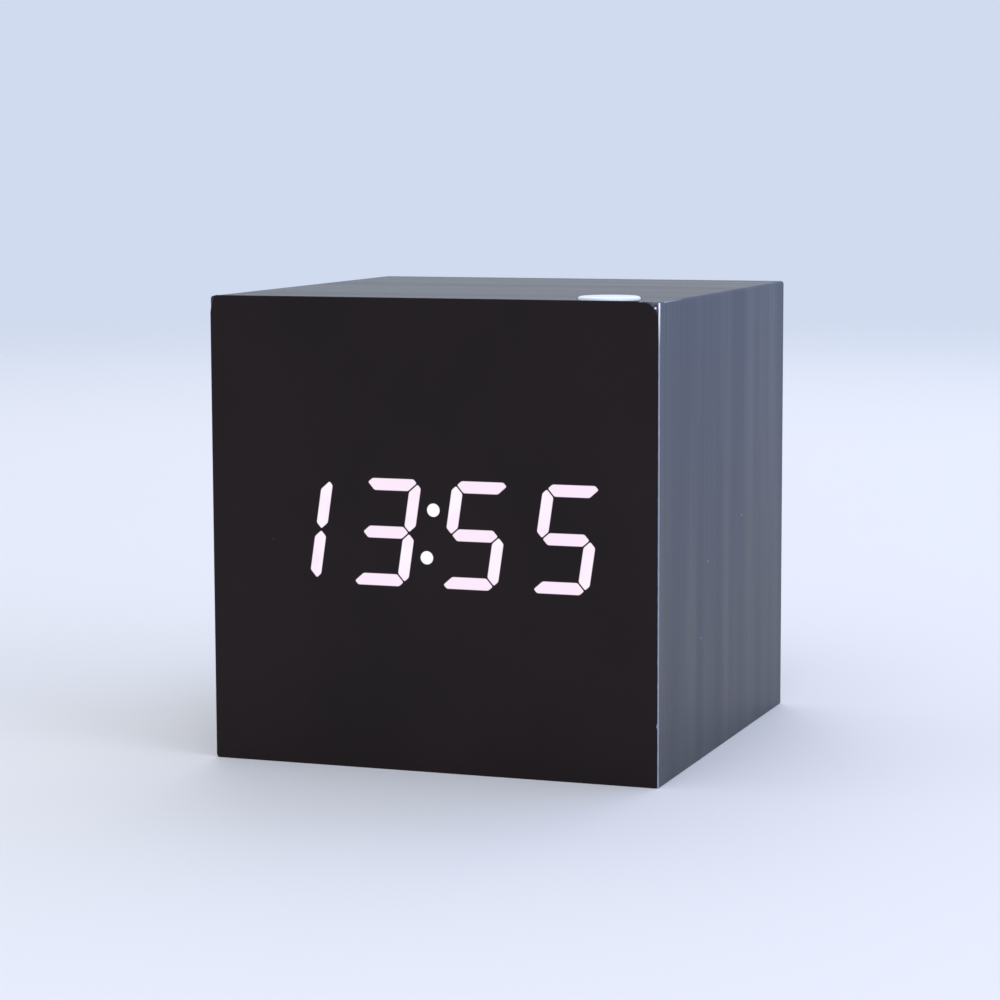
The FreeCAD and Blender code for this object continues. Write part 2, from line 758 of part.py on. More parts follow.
def power_socket():
    start = main_pcb_rear
    body = box(socket_x - jack_body / 2, socket_x + jack_body / 2, start, start + jack_body_length,
               strip_z - jack_body / 2, strip_z + jack_body / 2)
    mouth = cover_outer - jack_nose_inset
    nose = rod_y(jack_nose_diameter, socket_x, strip_z, start, mouth)
    bore = rod_y(jack_bore, socket_x, strip_z, mouth - jack_bore_depth, mouth + overshoot)
    nodes["power_socket"] = body.fuse(nose).cut(bore)
    root = mouth - jack_bore_depth
    nodes["socket_pin"] = rod_y(jack_pin_diameter, socket_x, strip_z, root, root + jack_pin_length)


# ---------------------------------------------------------------- rear cover
def bay_space():
    """The room inside the battery bay: a cradle for each cell, open towards the door."""
    space = [box(-bay_half, bay_half, cell_y, cover_inner + overshoot, bay_base, bay_top)]
    cradle = cell_diameter + 2 * cell_door_gap
    for z in cell_rows:
        space.append(rod(cradle, Vector(-bay_half, cell_y, z), Vector(bay_half, cell_y, z)))
    for side in (-1, 1):
        x0, x1 = sorted((side * bay_half, side * (bay_half - contact_thickness)))
        space.append(box(x0, x1, bay_floor_y, cover_inner + overshoot, bay_base, bay_top))
    return space


def cover_screw_places():
    return [(side * block_x, z) for side in (-1, 1) for z in block_z]


def tongue_places():
    return [-door_tongue_spacing / 2, door_tongue_spacing / 2]


def rear_cover():
    half = inner_half - cover_clearance
    plate = box(-half, half, cover_inner, cover_outer,
                inner_base + cover_clearance, inner_top - cover_clearance)
    plate = plate.makeChamfer(cover_bevel, edges_at(plate, "Y", cover_outer))
    bay = box(-bay_outer, bay_outer, bay_front, cover_inner, bay_base - bay_wall, bay_top + bay_wall)
    guide_half = button_flange / 2 + button_clearance + guide_wall
    additions = [bay]
    additions.append(box(min(button_x.values()) - guide_half, max(button_x.values()) + guide_half,
                         cover_inner - guide_depth, cover_inner, strip_z - guide_half, strip_z + guide_half))
    additions += [box(x - boss_width / 2, x + boss_width / 2, main_pcb_rear, bay_front,
                      z - boss_width / 2, z + boss_width / 2) for x, z in boss_places]

    door_opening = box(-bay_half - door_ledge - door_clearance, bay_half + door_ledge + door_clearance,
                       cover_inner, cover_outer + overshoot,
                       door_base - door_clearance, door_top + door_top_clearance)
    cuts = bay_space() + [door_opening]
    for x in button_x.values():
        cuts.append(rod_y(button_diameter + 2 * button_clearance, x, strip_z,
                          cover_inner - overshoot, cover_outer + overshoot))
        cuts.append(square_bar_y(button_flange + 2 * button_clearance, x, strip_z,
                                 cover_inner - guide_depth - overshoot, cover_inner))
    cuts.append(rod_y(jack_nose_diameter + 2 * jack_nose_clearance, socket_x, strip_z,
                      cover_inner - overshoot, cover_outer + overshoot))
    for x, z in cover_screw_places():
        cuts.append(rod_y(cover_screw_diameter + 2 * screw_hole_clearance, x, z,
                          cover_inner - overshoot, cover_outer + overshoot))
        cuts.append(rod_y(cover_screw_head + 2 * cover_screw_head_clearance, x, z,
                          cover_screw_seat, cover_outer + overshoot))
    for x, z in boss_places:
        cuts.append(rod_y(board_screw_diameter + 2 * pilot_clearance, x, z, main_pcb_rear - overshoot,
                          main_pcb_rear + board_screw_bite + pilot_clearance))
    for x in tongue_places():
        reach = door_tongue_width / 2 + door_tongue_clearance
        cuts.append(box(x - reach, x + reach, cover_inner - door_tongue_swing, cover_inner,
                        bay_base - bay_wall - overshoot, bay_base))
    cuts += terminal_tail_slots(tail_clearance, bay_front - overshoot, bay_floor_y)
    scoop_y, scoop_z = cover_outer + scoop_radius - scoop_depth, door_top + door_top_clearance
    cuts.append(rod(2 * scoop_radius, Vector(-scoop_width / 2, scoop_y, scoop_z),
                    Vector(scoop_width / 2, scoop_y, scoop_z)))
    sound_z = (inner_base + door_base) / 2
    for place in range(sound_slot_count):
        x = (place - (sound_slot_count - 1) / 2) * sound_slot_pitch
        cuts.append(box(x - sound_slot_width / 2, x + sound_slot_width / 2,
                        cover_inner - overshoot, cover_outer + overshoot,
                        sound_z - sound_slot_height / 2, sound_z + sound_slot_height / 2))
    nodes["rear_cover"] = plate.fuse(additions).removeSplitter().cut(cuts)


def cover_screws():
    nodes["cover_screws"] = headed_screws(cover_screw_places(), cover_screw_seat, 1, cover_screw_diameter,
                                          cover_screw_head, cover_screw_head_height,
                                          cover_screw_length - cover_screw_head_height)


def battery_door():
    half = bay_half + door_ledge
    door = box(-half, half, cover_inner, cover_outer, hinge_z, door_top)
    hinge_roll = rod(cover_thickness, Vector(-half, hinge_y, hinge_z), Vector(half, hinge_y, hinge_z))
    parts = [hinge_roll]
    for x in tongue_places():
        parts.append(box(x - door_tongue_width / 2, x + door_tongue_width / 2,
                         cover_inner - door_tongue_thickness, cover_inner,
                         door_base - door_tongue_drop, hinge_z + door_tongue_drop))
    nose = rod(2 * latch_nose, Vector(-latch_nose_length / 2, hinge_y, door_top),
               Vector(latch_nose_length / 2, hinge_y, door_top))
    parts.append(nose)
    for rib in range(grip_rib_count):
        z = door_top - latch_length / 2 + (rib - (grip_rib_count - 1) / 2) * grip_rib_pitch
        rib_bar = box(-grip_rib_length / 2, grip_rib_length / 2, cover_outer, cover_outer + grip_rib_height,
                      z - grip_rib_width / 2, z + grip_rib_width / 2)
        crest = edges_at(rib_bar, "Y", cover_outer + grip_rib_height)
        parts.append(rib_bar.makeChamfer(grip_rib_bevel, crest))
    cuts = []
    for side in (-1, 1):
        middle = side * (latch_width + latch_slit) / 2
        cuts.append(box(middle - latch_slit / 2, middle + latch_slit / 2,
                        cover_inner - overshoot, cover_outer + overshoot,
                        door_top - latch_length, door_top + overshoot))
    cuts.append(box(-latch_width / 2 - latch_slit, latch_width / 2 + latch_slit,
                    cover_inner - overshoot, cover_inner + latch_thinning,
                    door_top - latch_length, door_top + overshoot))
    nodes["battery_door"] = door.fuse(parts).removeSplitter().cut(cuts)


# ---------------------------------------------------------------- batteries and contacts
def polarity(row):
    """+1 where the cell's button end points to +X, -1 where it points to -X."""
    return 1 if (cell_count - 1 - row) % 2 == 0 else -1


def battery_cells():
    cells = []
    for row, z in enumerate(cell_rows):
        sign = polarity(row)
        tip = sign * (bay_half - contact_thickness)
        shoulder = tip - sign * cell_nub_height
        tail = tip - sign * cell_length
        can = rod(cell_diameter, Vector(tail, cell_y, z), Vector(shoulder, cell_y, z))
        nub = rod(cell_nub_diameter, Vector(shoulder, cell_y, z), Vector(tip, cell_y, z))
        cells.append(can.fuse(nub))
    nodes["battery_cells"] = cells


def contact_plate(side, low_row, high_row):
    """A stamped plate in one end of the bay that serves one cell or bridges two."""
    x0, x1 = sorted((side * bay_half, side * (bay_half - contact_thickness)))
    return box(x0, x1, bay_floor_y, bay_floor_y + contact_rise,
               cell_rows[low_row] - contact_height / 2, cell_rows[high_row] + contact_height / 2)


def terminal_tail(side, row):
    x0, x1 = sorted((side * bay_half, side * (bay_half - contact_thickness)))
    return box(x0, x1, main_pcb_front - tail_proud, bay_floor_y,
               cell_rows[row] - tail_width / 2, cell_rows[row] + tail_width / 2)


def contact_spring(row):
    """A conical spring that presses on the flat end of a cell, wound from its plate inwards."""
    side = -polarity(row)
    seat = side * (bay_half - contact_thickness - spring_wire / 2)
    rise = spring_length - spring_wire
    wide, narrow = (spring_base_diameter - spring_wire) / 2, (spring_tip_diameter - spring_wire) / 2
    sections = []
    for step in range(spring_turns * spring_facets + 1):
        share = step / (spring_turns * spring_facets)
        turn = 2 * math.pi * step / spring_facets
        outwards = Vector(0, math.cos(turn), math.sin(turn))
        centre = Vector(seat - side * rise * share, cell_y, cell_rows[row])
        centre += outwards * (wide + (narrow - wide) * share)
        corners = [centre + outwards * (spring_wire / 2 * math.cos(angle))
                   + Vector(spring_wire / 2 * math.sin(angle), 0, 0)
                   for angle in (2 * math.pi * corner / spring_wire_facets
                                 for corner in range(spring_wire_facets))]
        sections.append(Part.makePolygon(corners + corners[:1]))
    return Part.makeLoft(sections, True, True)


def battery_contacts():
    top, base = cell_count - 1, 0
    nodes["plus_terminal"] = contact_plate(1, top, top).fuse(terminal_tail(1, top)).removeSplitter()
    nodes["minus_terminal"] = contact_plate(-1, base, base).fuse(terminal_tail(-1, base)).removeSplitter()
    nodes["bridge_contacts"] = [contact_plate(-1, top - 1, top), contact_plate(1, base, base + 1)]
    nodes["contact_springs"] = [contact_spring(row) for row in range(cell_count)]


# ---------------------------------------------------------------- build
case_boards()
case_films()
corner_blocks()
reflector_and_segments()
display_board()
display_electronics()
top_button()
rear_buttons()
main_board()
main_board_parts()
ribbon_connection()
power_socket()
rear_cover()
cover_screws()
battery_door()
battery_cells()
battery_contacts()

for name, shape in nodes.items():
    solid = Part.makeCompound(shape) if isinstance(shape, list) else shape
    solid.exportStep(os.path.join("parts", name + ".step"))
print(len(nodes), "nodes")
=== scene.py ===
"""Dresses a cube-shaped LED desk clock: films, lit figures, keys, screws, cells and a plain studio."""

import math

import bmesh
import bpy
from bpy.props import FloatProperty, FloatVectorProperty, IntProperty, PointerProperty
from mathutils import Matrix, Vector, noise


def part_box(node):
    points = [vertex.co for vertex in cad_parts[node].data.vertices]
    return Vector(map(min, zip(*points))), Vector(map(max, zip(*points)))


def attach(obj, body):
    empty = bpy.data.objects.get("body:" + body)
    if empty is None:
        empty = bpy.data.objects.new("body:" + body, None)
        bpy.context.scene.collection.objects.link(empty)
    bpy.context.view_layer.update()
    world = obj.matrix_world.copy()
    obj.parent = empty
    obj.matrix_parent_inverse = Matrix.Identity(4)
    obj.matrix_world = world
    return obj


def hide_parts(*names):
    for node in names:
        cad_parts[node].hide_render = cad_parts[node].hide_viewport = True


bl_info = {
    "name": "Cube Desk Clock",
    "version": (1, 0, 0),
    "blender": (4, 5, 0),
    "location": "3D View > Sidebar > Clock",
    "description": "Dresses the packed cube clock and sets it in a plain studio",
    "category": "Object",
}

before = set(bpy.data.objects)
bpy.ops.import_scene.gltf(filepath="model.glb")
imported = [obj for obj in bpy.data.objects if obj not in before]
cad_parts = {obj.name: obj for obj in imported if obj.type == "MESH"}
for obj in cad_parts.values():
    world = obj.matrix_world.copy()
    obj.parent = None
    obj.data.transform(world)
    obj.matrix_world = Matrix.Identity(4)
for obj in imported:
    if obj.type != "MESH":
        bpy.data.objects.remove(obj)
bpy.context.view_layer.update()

MM = 0.001
HAIR = 1e-6                    # metres; points closer than this are the same
SMOOTH_ANGLE = math.radians(34)
MIX_A, MIX_B, MIX_RESULT = 6, 7, 2   # the colour sockets of a Mix node


# ------------ colours and sizes
def linear(value):
    """Linear red, green, blue and alpha of an sRGB hex value."""
    shares = [int(value[place:place + 2], 16) / 255 for place in (1, 3, 5)]
    straight = [s / 12.92 if s <= 0.04045 else ((s + 0.055) / 1.055) ** 2.4 for s in shares]
    return (*straight, 1.0)


def colour(name, description, value):
    return FloatVectorProperty(name=name, description=description, default=linear(value),
                               size=4, min=0.0, max=1.0, subtype="COLOR")


def length(name, description, millimetres):
    return FloatProperty(name=name, description=description, default=millimetres * MM,
                         min=0.0, unit="LENGTH", subtype="DISTANCE", precision=5)


def angle(name, description, degrees):
    return FloatProperty(name=name, description=description, default=math.radians(degrees),
                         unit="ROTATION", subtype="ANGLE")


def ratio(name, description, value):
    return FloatProperty(name=name, description=description, default=value, min=0.0, max=0.9)


class ClockFilms(bpy.types.PropertyGroup):
    """The decorative film on the boards and the smoked film in front of the figures."""

    smoke: colour("Smoke", "Smoked front film", "#191213")
    # Painted highlight: the core's colour at the top, where its edge catches light.
    core_highlight: colour("Core high", "Wrap film's bare core, high up", "#F4F7FF")
    # The core's own pale colour; also the colour of the painted highlights on the front film's upper edge and
    # on the upper right fold.
    core_low: colour("Core low", "Wrap film's bare core, low down", "#8C95AC")
    grain_dark: colour("Grain dark", "Deep streaks of the grain", "#14161C")
    grain_light: colour("Grain light", "Raised streaks of the grain", "#1C202A")
    dust: colour("Dust", "Dust held in the grain", "#A9ACB0")
    top_corner: length("Top corner", "Front film's upper right corner", 2.5)
    other_corner: length("Other corner", "Front film's other corners", 0.5)
    left_taper: length("Left taper", "Trim at its upper left corner", 0.4)
    taper_length: length("Taper length", "Height of that trim", 2.4)
    edge_bevel: length("Edge bevel", "Worn edge of the front film", 0.09)
    film_proud: length("Film proud", "Front film's stand above the top", 0.1)
    turn_reach: length("Turn reach", "Wrap film turned over the front", 4.0)
    turn_thickness: length("Turn thickness", "Room for it behind the front film", 0.05)
    fold: length("Fold", "Radius of the wrap film's upper folds", 0.4)
    edge_points: IntProperty(name="Edge points", description="Points along an edge", default=240, min=8)
    waviness: length("Waviness", "How far the trimmed edge wanders", 0.03)
    wander_length: length("Wander length", "Height over which it wanders once", 1.1)
    # Painted highlight: the front film's upper edge is painted pale right of this.
    faint_from: length("Faint from", "Upper edge is pale right of this", 18.0)
    nick_height: length("Nick height", "Nick in the right-hand edge, from the base", 7.8)
    nick_reach: length("Nick reach", "Half the height of the nick", 0.35)
    nick_depth: length("Nick depth", "Depth of the nick", 0.16)
    core_width: length("Core width", "Width of the bare core", 0.16)
    core_sink: length("Core sink", "From the front film's face to the core", 0.03)
    core_top_gap: length("Core top gap", "From the top down to the core's end", 0.1)
    # Painted highlight: where the core's whitening towards the top starts and ends.
    core_fade_from: length("Core fade from", "Depth where the core starts to whiten", 5.5)
    core_fade_to: length("Core fade to", "Depth where the core is whitest", 0.5)
    # Painted highlight: a pale line along the upper right fold near the front, where the fold catches light.
    fold_highlight_width: length("Rub width", "Rubbed line on the upper right fold, at its front", 0.14)
    fold_highlight_start: length("Rub start", "From the front board to that line", 1.6)
    fold_highlight_length: length("Rub length", "Length over which it dies away", 8.0)
    # Painted glint: a small white chip beside the core's upper end.
    glint_chip_size: length("Chip size", "Width of the chip beside the core", 0.28)
    glint_chip_inset: length("Chip inset", "From the side to the chip", 0.59)
    glint_chip_drop: length("Chip drop", "From the top down to the chip", 0.74)
    streak_width: length("Streak width", "Width of a fine streak", 0.55)
    streak_length: length("Streak length", "Length of a fine streak", 40.0)
    band_width: length("Band width", "Width of a broad, faint band", 6.0)
    band_length: length("Band length", "Length of such a band", 120)
    emboss: length("Emboss", "Depth of the embossed grain", 0.04)


class ClockFigures(bpy.types.PropertyGroup):
    """The lit time, as it shows through the smoked film."""

    upright: colour("Upright", "Upright segments", "#FFF6FF")
    level: colour("Level", "Level segments", "#FBE9FA")
    dot: colour("Dot", "Dots of the colon", "#FFFFFF")
    fringe: colour("Fringe", "Rim where the light dies away", "#2E1A2C")
    corner: length("Corner", "Radius of a segment's corners", 0.2)
    fringe_width: length("Fringe width", "Width of the rim", 0.07)
    depth: length("Depth", "Depth of the light in the film", 0.2)


class ClockKeys(bpy.types.PropertyGroup):
    """The white key on top and the three keys at the rear."""

    white: colour("White", "The key on top", "#DFE8F3")
    black: colour("Black", "The keys at the rear", "#17171A")
    mark: colour("Mark", "Raised marks beside the rear keys", "#7C7F84")
    top_edge: length("Top edge", "Rounded edge of the key on top", 0.34)
    top_crown: length("Top crown", "Dome of the key on top", 0.05)
    top_cap: length("Top cap", "Thickness of the cap on top", 0.8)
    top_stem: length("Top stem", "Diameter of its stem", 2.6)
    ear_reach: length("Ear reach", "Reach of the snap ears past the stem", 0.4)
    ear_height: length("Ear height", "Height of the snap ears", 0.6)
    ear_width: length("Ear width", "Width of the snap ears", 1.4)
    ear_gap: length("Ear gap", "From the snap ears up to the top board", 0.15)
    rear_edge: length("Rear edge", "Rounded edge of a rear key", 0.35)
    rear_dish: length("Rear dish", "Finger dish in a rear key", 0.18)
    rear_diameter: length("Rear diameter", "Cap of a rear key", 4.4)
    flange_thickness: length("Flange thickness", "Flange that keeps a rear key in", 1.2)
    flange_depth: length("Flange depth", "From the cover's face to the flange", 1.95)
    stem_diameter: length("Stem diameter", "Stem of a rear key", 3.2)
    mark_size: length("Mark size", "Height of a raised mark", 1.7)
    mark_relief: length("Mark relief", "Relief of a raised mark", 0.15)
    mark_taper: ratio("Mark taper", "Top of a mark as a share of its foot", 0.86)
    mark_rise: length("Mark rise", "From a rear key's middle to its mark", 3.9)


class ClockRear(bpy.types.PropertyGroup):
    """Moulded cover, screws, cells and springs at the rear."""

    moulding: colour("Moulding", "Cover and battery door", "#151517")
    sleeve: colour("Sleeve", "Sleeve of the cells", "#23262B")
    sleeve_band: colour("Sleeve band", "Paler band near the button end", "#8E9398")
    screw_head: length("Screw head", "Head of a cover screw", 4.0)
    screw_head_height: length("Screw head height", "Height of that head", 1.0)
    screw_shank: length("Screw shank", "Shank of a cover screw", 2.6)
    screw_tip: length("Screw tip", "Blunt tip of a cover screw", 1.6)
    screw_crown: length("Screw crown", "Rounded edge of its head", 0.45)
    recess_reach: length("Recess reach", "Half the length of the recess", 1.15)
    recess_width: length("Recess width", "Width of the recess", 0.62)
    recess_depth: length("Recess depth", "Depth of the recess", 0.75)
    recess_taper: ratio("Recess taper", "Foot of the recess as a share of its mouth", 0.55)
    cell_length: length("Cell length", "Cell with its button end", 44.5)
    cell_rim: length("Cell rim", "Rounded rim of a cell", 0.55)
    nub_diameter: length("Nub diameter", "Button end of a cell", 3.8)
    nub_height: length("Nub height", "Height of the button end", 1.2)
    mouth_gap: length("Mouth gap", "Bare metal round the button end", 1.0)
    sleeve_lap: length("Sleeve lap", "Step from the sleeve to the can", 0.1)
    band_length: length("Band length", "Length of the paler band", 9.0)
    spring_length: length("Spring length", "From a spring's plate to its cell", 2.8)
    spring_wire: length("Spring wire", "Wire of a contact spring", 0.45)
    spring_base: length("Spring base", "Widest turn of a spring", 7.0)
    spring_tip: length("Spring tip", "Narrowest turn of a spring", 3.6)
    spring_turns: IntProperty(name="Spring turns", description="Turns of a spring", default=4, min=2)
    end_turns: ratio("End turns", "Closed part of a turn at each end", 0.8)


class ClockStudio(bpy.types.PropertyGroup):
    """Floor, lamps and camera."""

    floor: colour("Floor", "Pale floor", "#D6D8DC")
    backdrop: colour("Backdrop", "Pale backdrop behind it", "#D0DBEF")
    azimuth: angle("Azimuth", "Camera's bearing to the right", 19.84)
    elevation: angle("Elevation", "Camera above the level", 6.77)
    roll: angle("Roll", "Camera's tilt about its own axis", -0.199)
    distance: length("Distance", "Camera to its target", 369.5)
    floor_radius: length("Floor radius", "Radius of the round floor", 3000)
    fade_from: length("Fade from", "Where the floor starts to fade", 350)
    fade_to: length("Fade to", "Where the floor has faded away", 1050)
    target: FloatVectorProperty(name="Target", description="Middle of the picture", size=3,
                                default=(0.00935, -0.030, 0.03515), unit="LENGTH", subtype="XYZ")
    lens: length("Lens", "Focal length on a 36 mm sensor", 106.95)


# ------------ meshes
def add_object(name, data):
    """Puts a new object in the scene."""
    item = bpy.data.objects.new(name, data)
    bpy.context.scene.collection.objects.link(item)
    return item


def add_piece(name, mesh, material, body, replaced=()):
    """Shows a finished mesh as a piece that rides on a body and stands for the nodes that it replaces."""
    mesh.materials.append(material)
    piece = add_object(name, mesh)
    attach(piece, body)
    if replaced:
        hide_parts(*replaced)


def mesh_from(bm, name, turn_outwards=True):
    """The mesh of a bmesh, with smooth faces and crisp edges."""
    if turn_outwards:
        bmesh.ops.recalc_face_normals(bm, faces=bm.faces)
    mesh = bpy.data.meshes.new(name)
    bm.to_mesh(mesh)
    bm.free()
    return with_crisp_edges(mesh)


def with_crisp_edges(mesh):
    """Smooth shading that stops at every real edge, without the normals that copied faces bring along."""
    if "custom_normal" in mesh.attributes:
        mesh.attributes.remove(mesh.attributes["custom_normal"])
    mesh.shade_smooth()
    mesh.set_sharp_from_angle(angle=SMOOTH_ANGLE)
    return mesh


def spin_profile(bm, profile, start, direction, steps):
    """Spins a profile of radius and height pairs about an axis that leads from start in a direction."""
    before = set(bm.verts)
    points = [bm.verts.new((radius, 0, height)) for radius, height in profile]
    edges = [bm.edges.new(pair) for pair in zip(points, points[1:])]
    bmesh.ops.spin(bm, geom=points + edges, cent=(0, 0, 0), axis=(0, 0, 1), angle=2 * math.pi,
                   steps=steps, use_merge=True)
    made = [vert for vert in bm.verts if vert not in before]
    bmesh.ops.remove_doubles(bm, verts=made, dist=HAIR)
    made = [vert for vert in bm.verts if vert not in before]
    turn = Vector((0, 0, 1)).rotation_difference(Vector(direction)).to_matrix()
    bmesh.ops.rotate(bm, verts=made, cent=(0, 0, 0), matrix=turn)
    bmesh.ops.translate(bm, verts=made, vec=start)
    return made


def add_block(bm, low, high):
    """Adds a box between two corners and returns its vertices."""
    low, high = Vector(low), Vector(high)
    place = Matrix.Translation((low + high) / 2) @ Matrix.Diagonal((*(high - low), 1))
    return bmesh.ops.create_cube(bm, size=1, matrix=place)["verts"]


def smoothstep(value, low, high):
    """0 below low, 1 above high and an even curve between them."""
    share = min(max((value - low) / (high - low), 0.0), 1.0)
    return share * share * (3 - 2 * share)


def rounded(radius, height, edge, steps=5):
    """Profile points of a rounded rim, from the side of a disc up to its top."""
    turns = [math.pi / 2 * step / steps for step in range(steps + 1)]
    return [(radius - edge + edge * math.cos(turn), height - edge + edge * math.sin(turn)) for turn in turns]


def middle(node):
    """The middle of a CAD node's box."""
    low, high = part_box(node)
    return (low + high) / 2


def add_lit_outlines(bm, corner, depth):
    """Adds the front faces of the lit diffusers to a mesh, moved to a depth, with rounded corners."""
    shift = (0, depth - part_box("lit_segments")[0].y, 0)
    for node in ("lit_segments", "colon_dots"):
        source = bmesh.new()
        source.from_mesh(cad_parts[node].data)
        bmesh.ops.remove_doubles(source, verts=source.verts, dist=HAIR)
        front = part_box(node)[0].y
        hidden = [face for face in source.faces if any(abs(v.co.y - front) > HAIR for v in face.verts)]
        bmesh.ops.delete(source, geom=hidden, context="FACES")
        bmesh.ops.dissolve_limit(source, angle_limit=math.radians(1), verts=source.verts, edges=source.edges)
        if node == "lit_segments":
            bmesh.ops.bevel(source, geom=source.verts, offset=corner, offset_type="OFFSET", segments=3,
                            profile=0.5, affect="VERTICES", material=-1, clamp_overlap=True)
        bmesh.ops.translate(source, verts=source.verts, vec=shift)
        copied = bpy.data.meshes.new("outlines")
        source.to_mesh(copied)
        source.free()
        bm.from_mesh(copied)
        bpy.data.meshes.remove(copied)


def finished_mesh(item, *helpers):
    """The mesh of an object with its modifiers applied. The object and its helpers are removed."""
    graph = bpy.context.evaluated_depsgraph_get()
    mesh = bpy.data.meshes.new_from_object(item.evaluated_get(graph))
    for each in (item, *helpers):
        bpy.data.objects.remove(each)
    return mesh


def cut_out(mesh, cutter):
    """A mesh with the closed shapes of another taken out of it."""
    body, tool = add_object(mesh.name, mesh), add_object(cutter.name, cutter)
    cut = body.modifiers.new("cut", "BOOLEAN")
    cut.operation, cut.solver, cut.object = "DIFFERENCE", "EXACT", tool
    return with_crisp_edges(finished_mesh(body, tool))


def edge_shift(look, height):
    """How far the front film's trimmed right-hand edge strays at a height: it wanders and has one nick."""
    wander = look.waviness * noise.noise(Vector((0, 0, height / look.wander_length)))
    return wander - look.nick_depth * max(0.0, 1 - abs(height - look.nick_height) / look.nick_reach)


def picked(made, kind):
    """The vertices, edges or faces among what a bmesh operator made."""
    return [item for item in made["geom"] if isinstance(item, kind)]


def add_sheet(bm, low, high, cuts):
    """Adds a flat sheet that faces the front, between two corners at one depth, cut across its height."""
    bmesh.ops.create_grid(bm, x_segments=1, y_segments=cuts, size=0.5)
    bmesh.ops.rotate(bm, verts=bm.verts, cent=(0, 0, 0), matrix=Matrix.Rotation(math.radians(90), 3, "X"))
    bmesh.ops.scale(bm, verts=bm.verts, vec=(high.x - low.x, 1, high.z - low.z))
    bmesh.ops.translate(bm, verts=bm.verts, vec=(low + high) / 2)


def thicken(bm, depth):
    """Extrudes every face along Y into a closed shape and returns the faces at the far end."""
    made = bmesh.ops.extrude_face_region(bm, geom=bm.faces[:], use_keep_orig=True)
    bmesh.ops.translate(bm, verts=picked(made, bmesh.types.BMVert), vec=(0, depth, 0))
    return picked(made, bmesh.types.BMFace)


def film_sheet(look, figures):
    """The smoked film: rounded corners, a trimmed edge on the right, and pockets for the light."""
    low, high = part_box("front_film")
    right, top, back = high.x - look.core_width, high.z + look.film_proud, high.y - look.turn_thickness
    bm = bmesh.new()
    pale = bm.faces.layers.float.new("painted_edge_highlight")
    add_sheet(bm, Vector((low.x, back, low.z)), Vector((right, back, top)), 1)
    for x, z, radius in ((right, top, look.top_corner), (low.x, top, look.other_corner),
                         (right, low.z, look.other_corner), (low.x, low.z, look.other_corner)):
        corner = [vert for vert in bm.verts if (vert.co - Vector((x, back, z))).length < HAIR]
        bmesh.ops.bevel(bm, geom=corner, offset=radius, offset_type="OFFSET", segments=8, profile=0.5,
                        affect="VERTICES", material=-1)
    upright = [edge for edge in bm.edges if edge.calc_length() > right
               and abs(edge.verts[0].co.x - edge.verts[1].co.x) < HAIR]
    bmesh.ops.subdivide_edges(bm, edges=upright, cuts=look.edge_points)
    for vert in bm.verts:
        if right - vert.co.x < HAIR:
            vert.co.x += edge_shift(look, vert.co.z)
        if vert.co.x < 0:
            vert.co.x += look.left_taper * smoothstep(vert.co.z, top - look.taper_length, top)
    front = thicken(bm, low.y + look.edge_bevel - back)
    before = set(bm.faces)
    bmesh.ops.inset_region(bm, faces=front, thickness=look.edge_bevel, depth=look.edge_bevel,
                           use_even_offset=True, use_boundary=True)
    # Painted highlight: the bevel faces of the upper edge, right of faint_from, are marked to be painted
    # pale.
    for face in set(bm.faces) - before:
        x, _, z = face.calc_center_median()
        if x > look.faint_from and z > top - look.edge_bevel:
            face[pale] = 1.0
    pockets = bmesh.new()
    add_lit_outlines(pockets, figures.corner, low.y - figures.depth)
    thicken(pockets, 2 * figures.depth)
    return cut_out(mesh_from(bm, "front_film_sheet"), mesh_from(pockets, "pockets"))


def film_core_mesh(look):
    """The wrap film's bare core along the right-hand front edge, a chip at its upper end that is painted
    white as a glint, and a pale line on the upper right fold that is a painted highlight.
    """
    low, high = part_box("front_film")
    bm = bmesh.new()
    face = low.y + look.core_sink
    add_sheet(bm, Vector((high.x - look.core_width, face, low.z)),
              Vector((high.x, face, high.z - look.core_top_gap)), look.edge_points)
    for vert in bm.verts:
        if high.x - vert.co.x > look.core_width / 2:
            vert.co.x += edge_shift(look, vert.co.z)
    thicken(bm, look.core_width)
    # Painted glint: a small sphere at the core's upper end, white from the core's painted highlight.
    glint_chip = Vector((high.x - look.glint_chip_inset, face + look.glint_chip_size / 2, high.z - look.glint_chip_drop))
    bmesh.ops.create_icosphere(bm, subdivisions=2, radius=look.glint_chip_size / 2, matrix=Matrix.Translation(glint_chip))
    # Painted highlight: a thin pale cone along the upper right fold, dying away towards the rear.
    inset = look.fold * (1 - math.sqrt(0.5))
    rub = Vector((high.x - inset, high.y + look.fold_highlight_start + look.fold_highlight_length / 2, high.z - inset))
    bmesh.ops.create_cone(bm, cap_ends=True, segments=12, radius1=look.fold_highlight_width / 2,
                          radius2=look.fold_highlight_width / 12, depth=look.fold_highlight_length,
                          matrix=Matrix.Translation(rub) @ Matrix.Rotation(math.radians(-90), 4, "X"))
    return mesh_from(bm, "film_core_with_highlight")


def film_turn_mesh(look):
    """The corner of the wrap film that is turned over the front, behind the smoked film's rounded corner."""
    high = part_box("front_film")[1]
    bm = bmesh.new()
    add_block(bm, (high.x - look.turn_reach, high.y - look.turn_thickness, high.z - look.turn_reach),
              (high.x, high.y, high.z))
    corner = [edge for edge in bm.edges
              if all(abs(vert.co.x - high.x) + abs(vert.co.z - high.z) < HAIR for vert in edge.verts)]
    bmesh.ops.bevel(bm, geom=corner, offset=look.fold, offset_type="OFFSET", segments=6, profile=0.5,
                    affect="EDGES", material=-1)
    return mesh_from(bm, "film_turn")


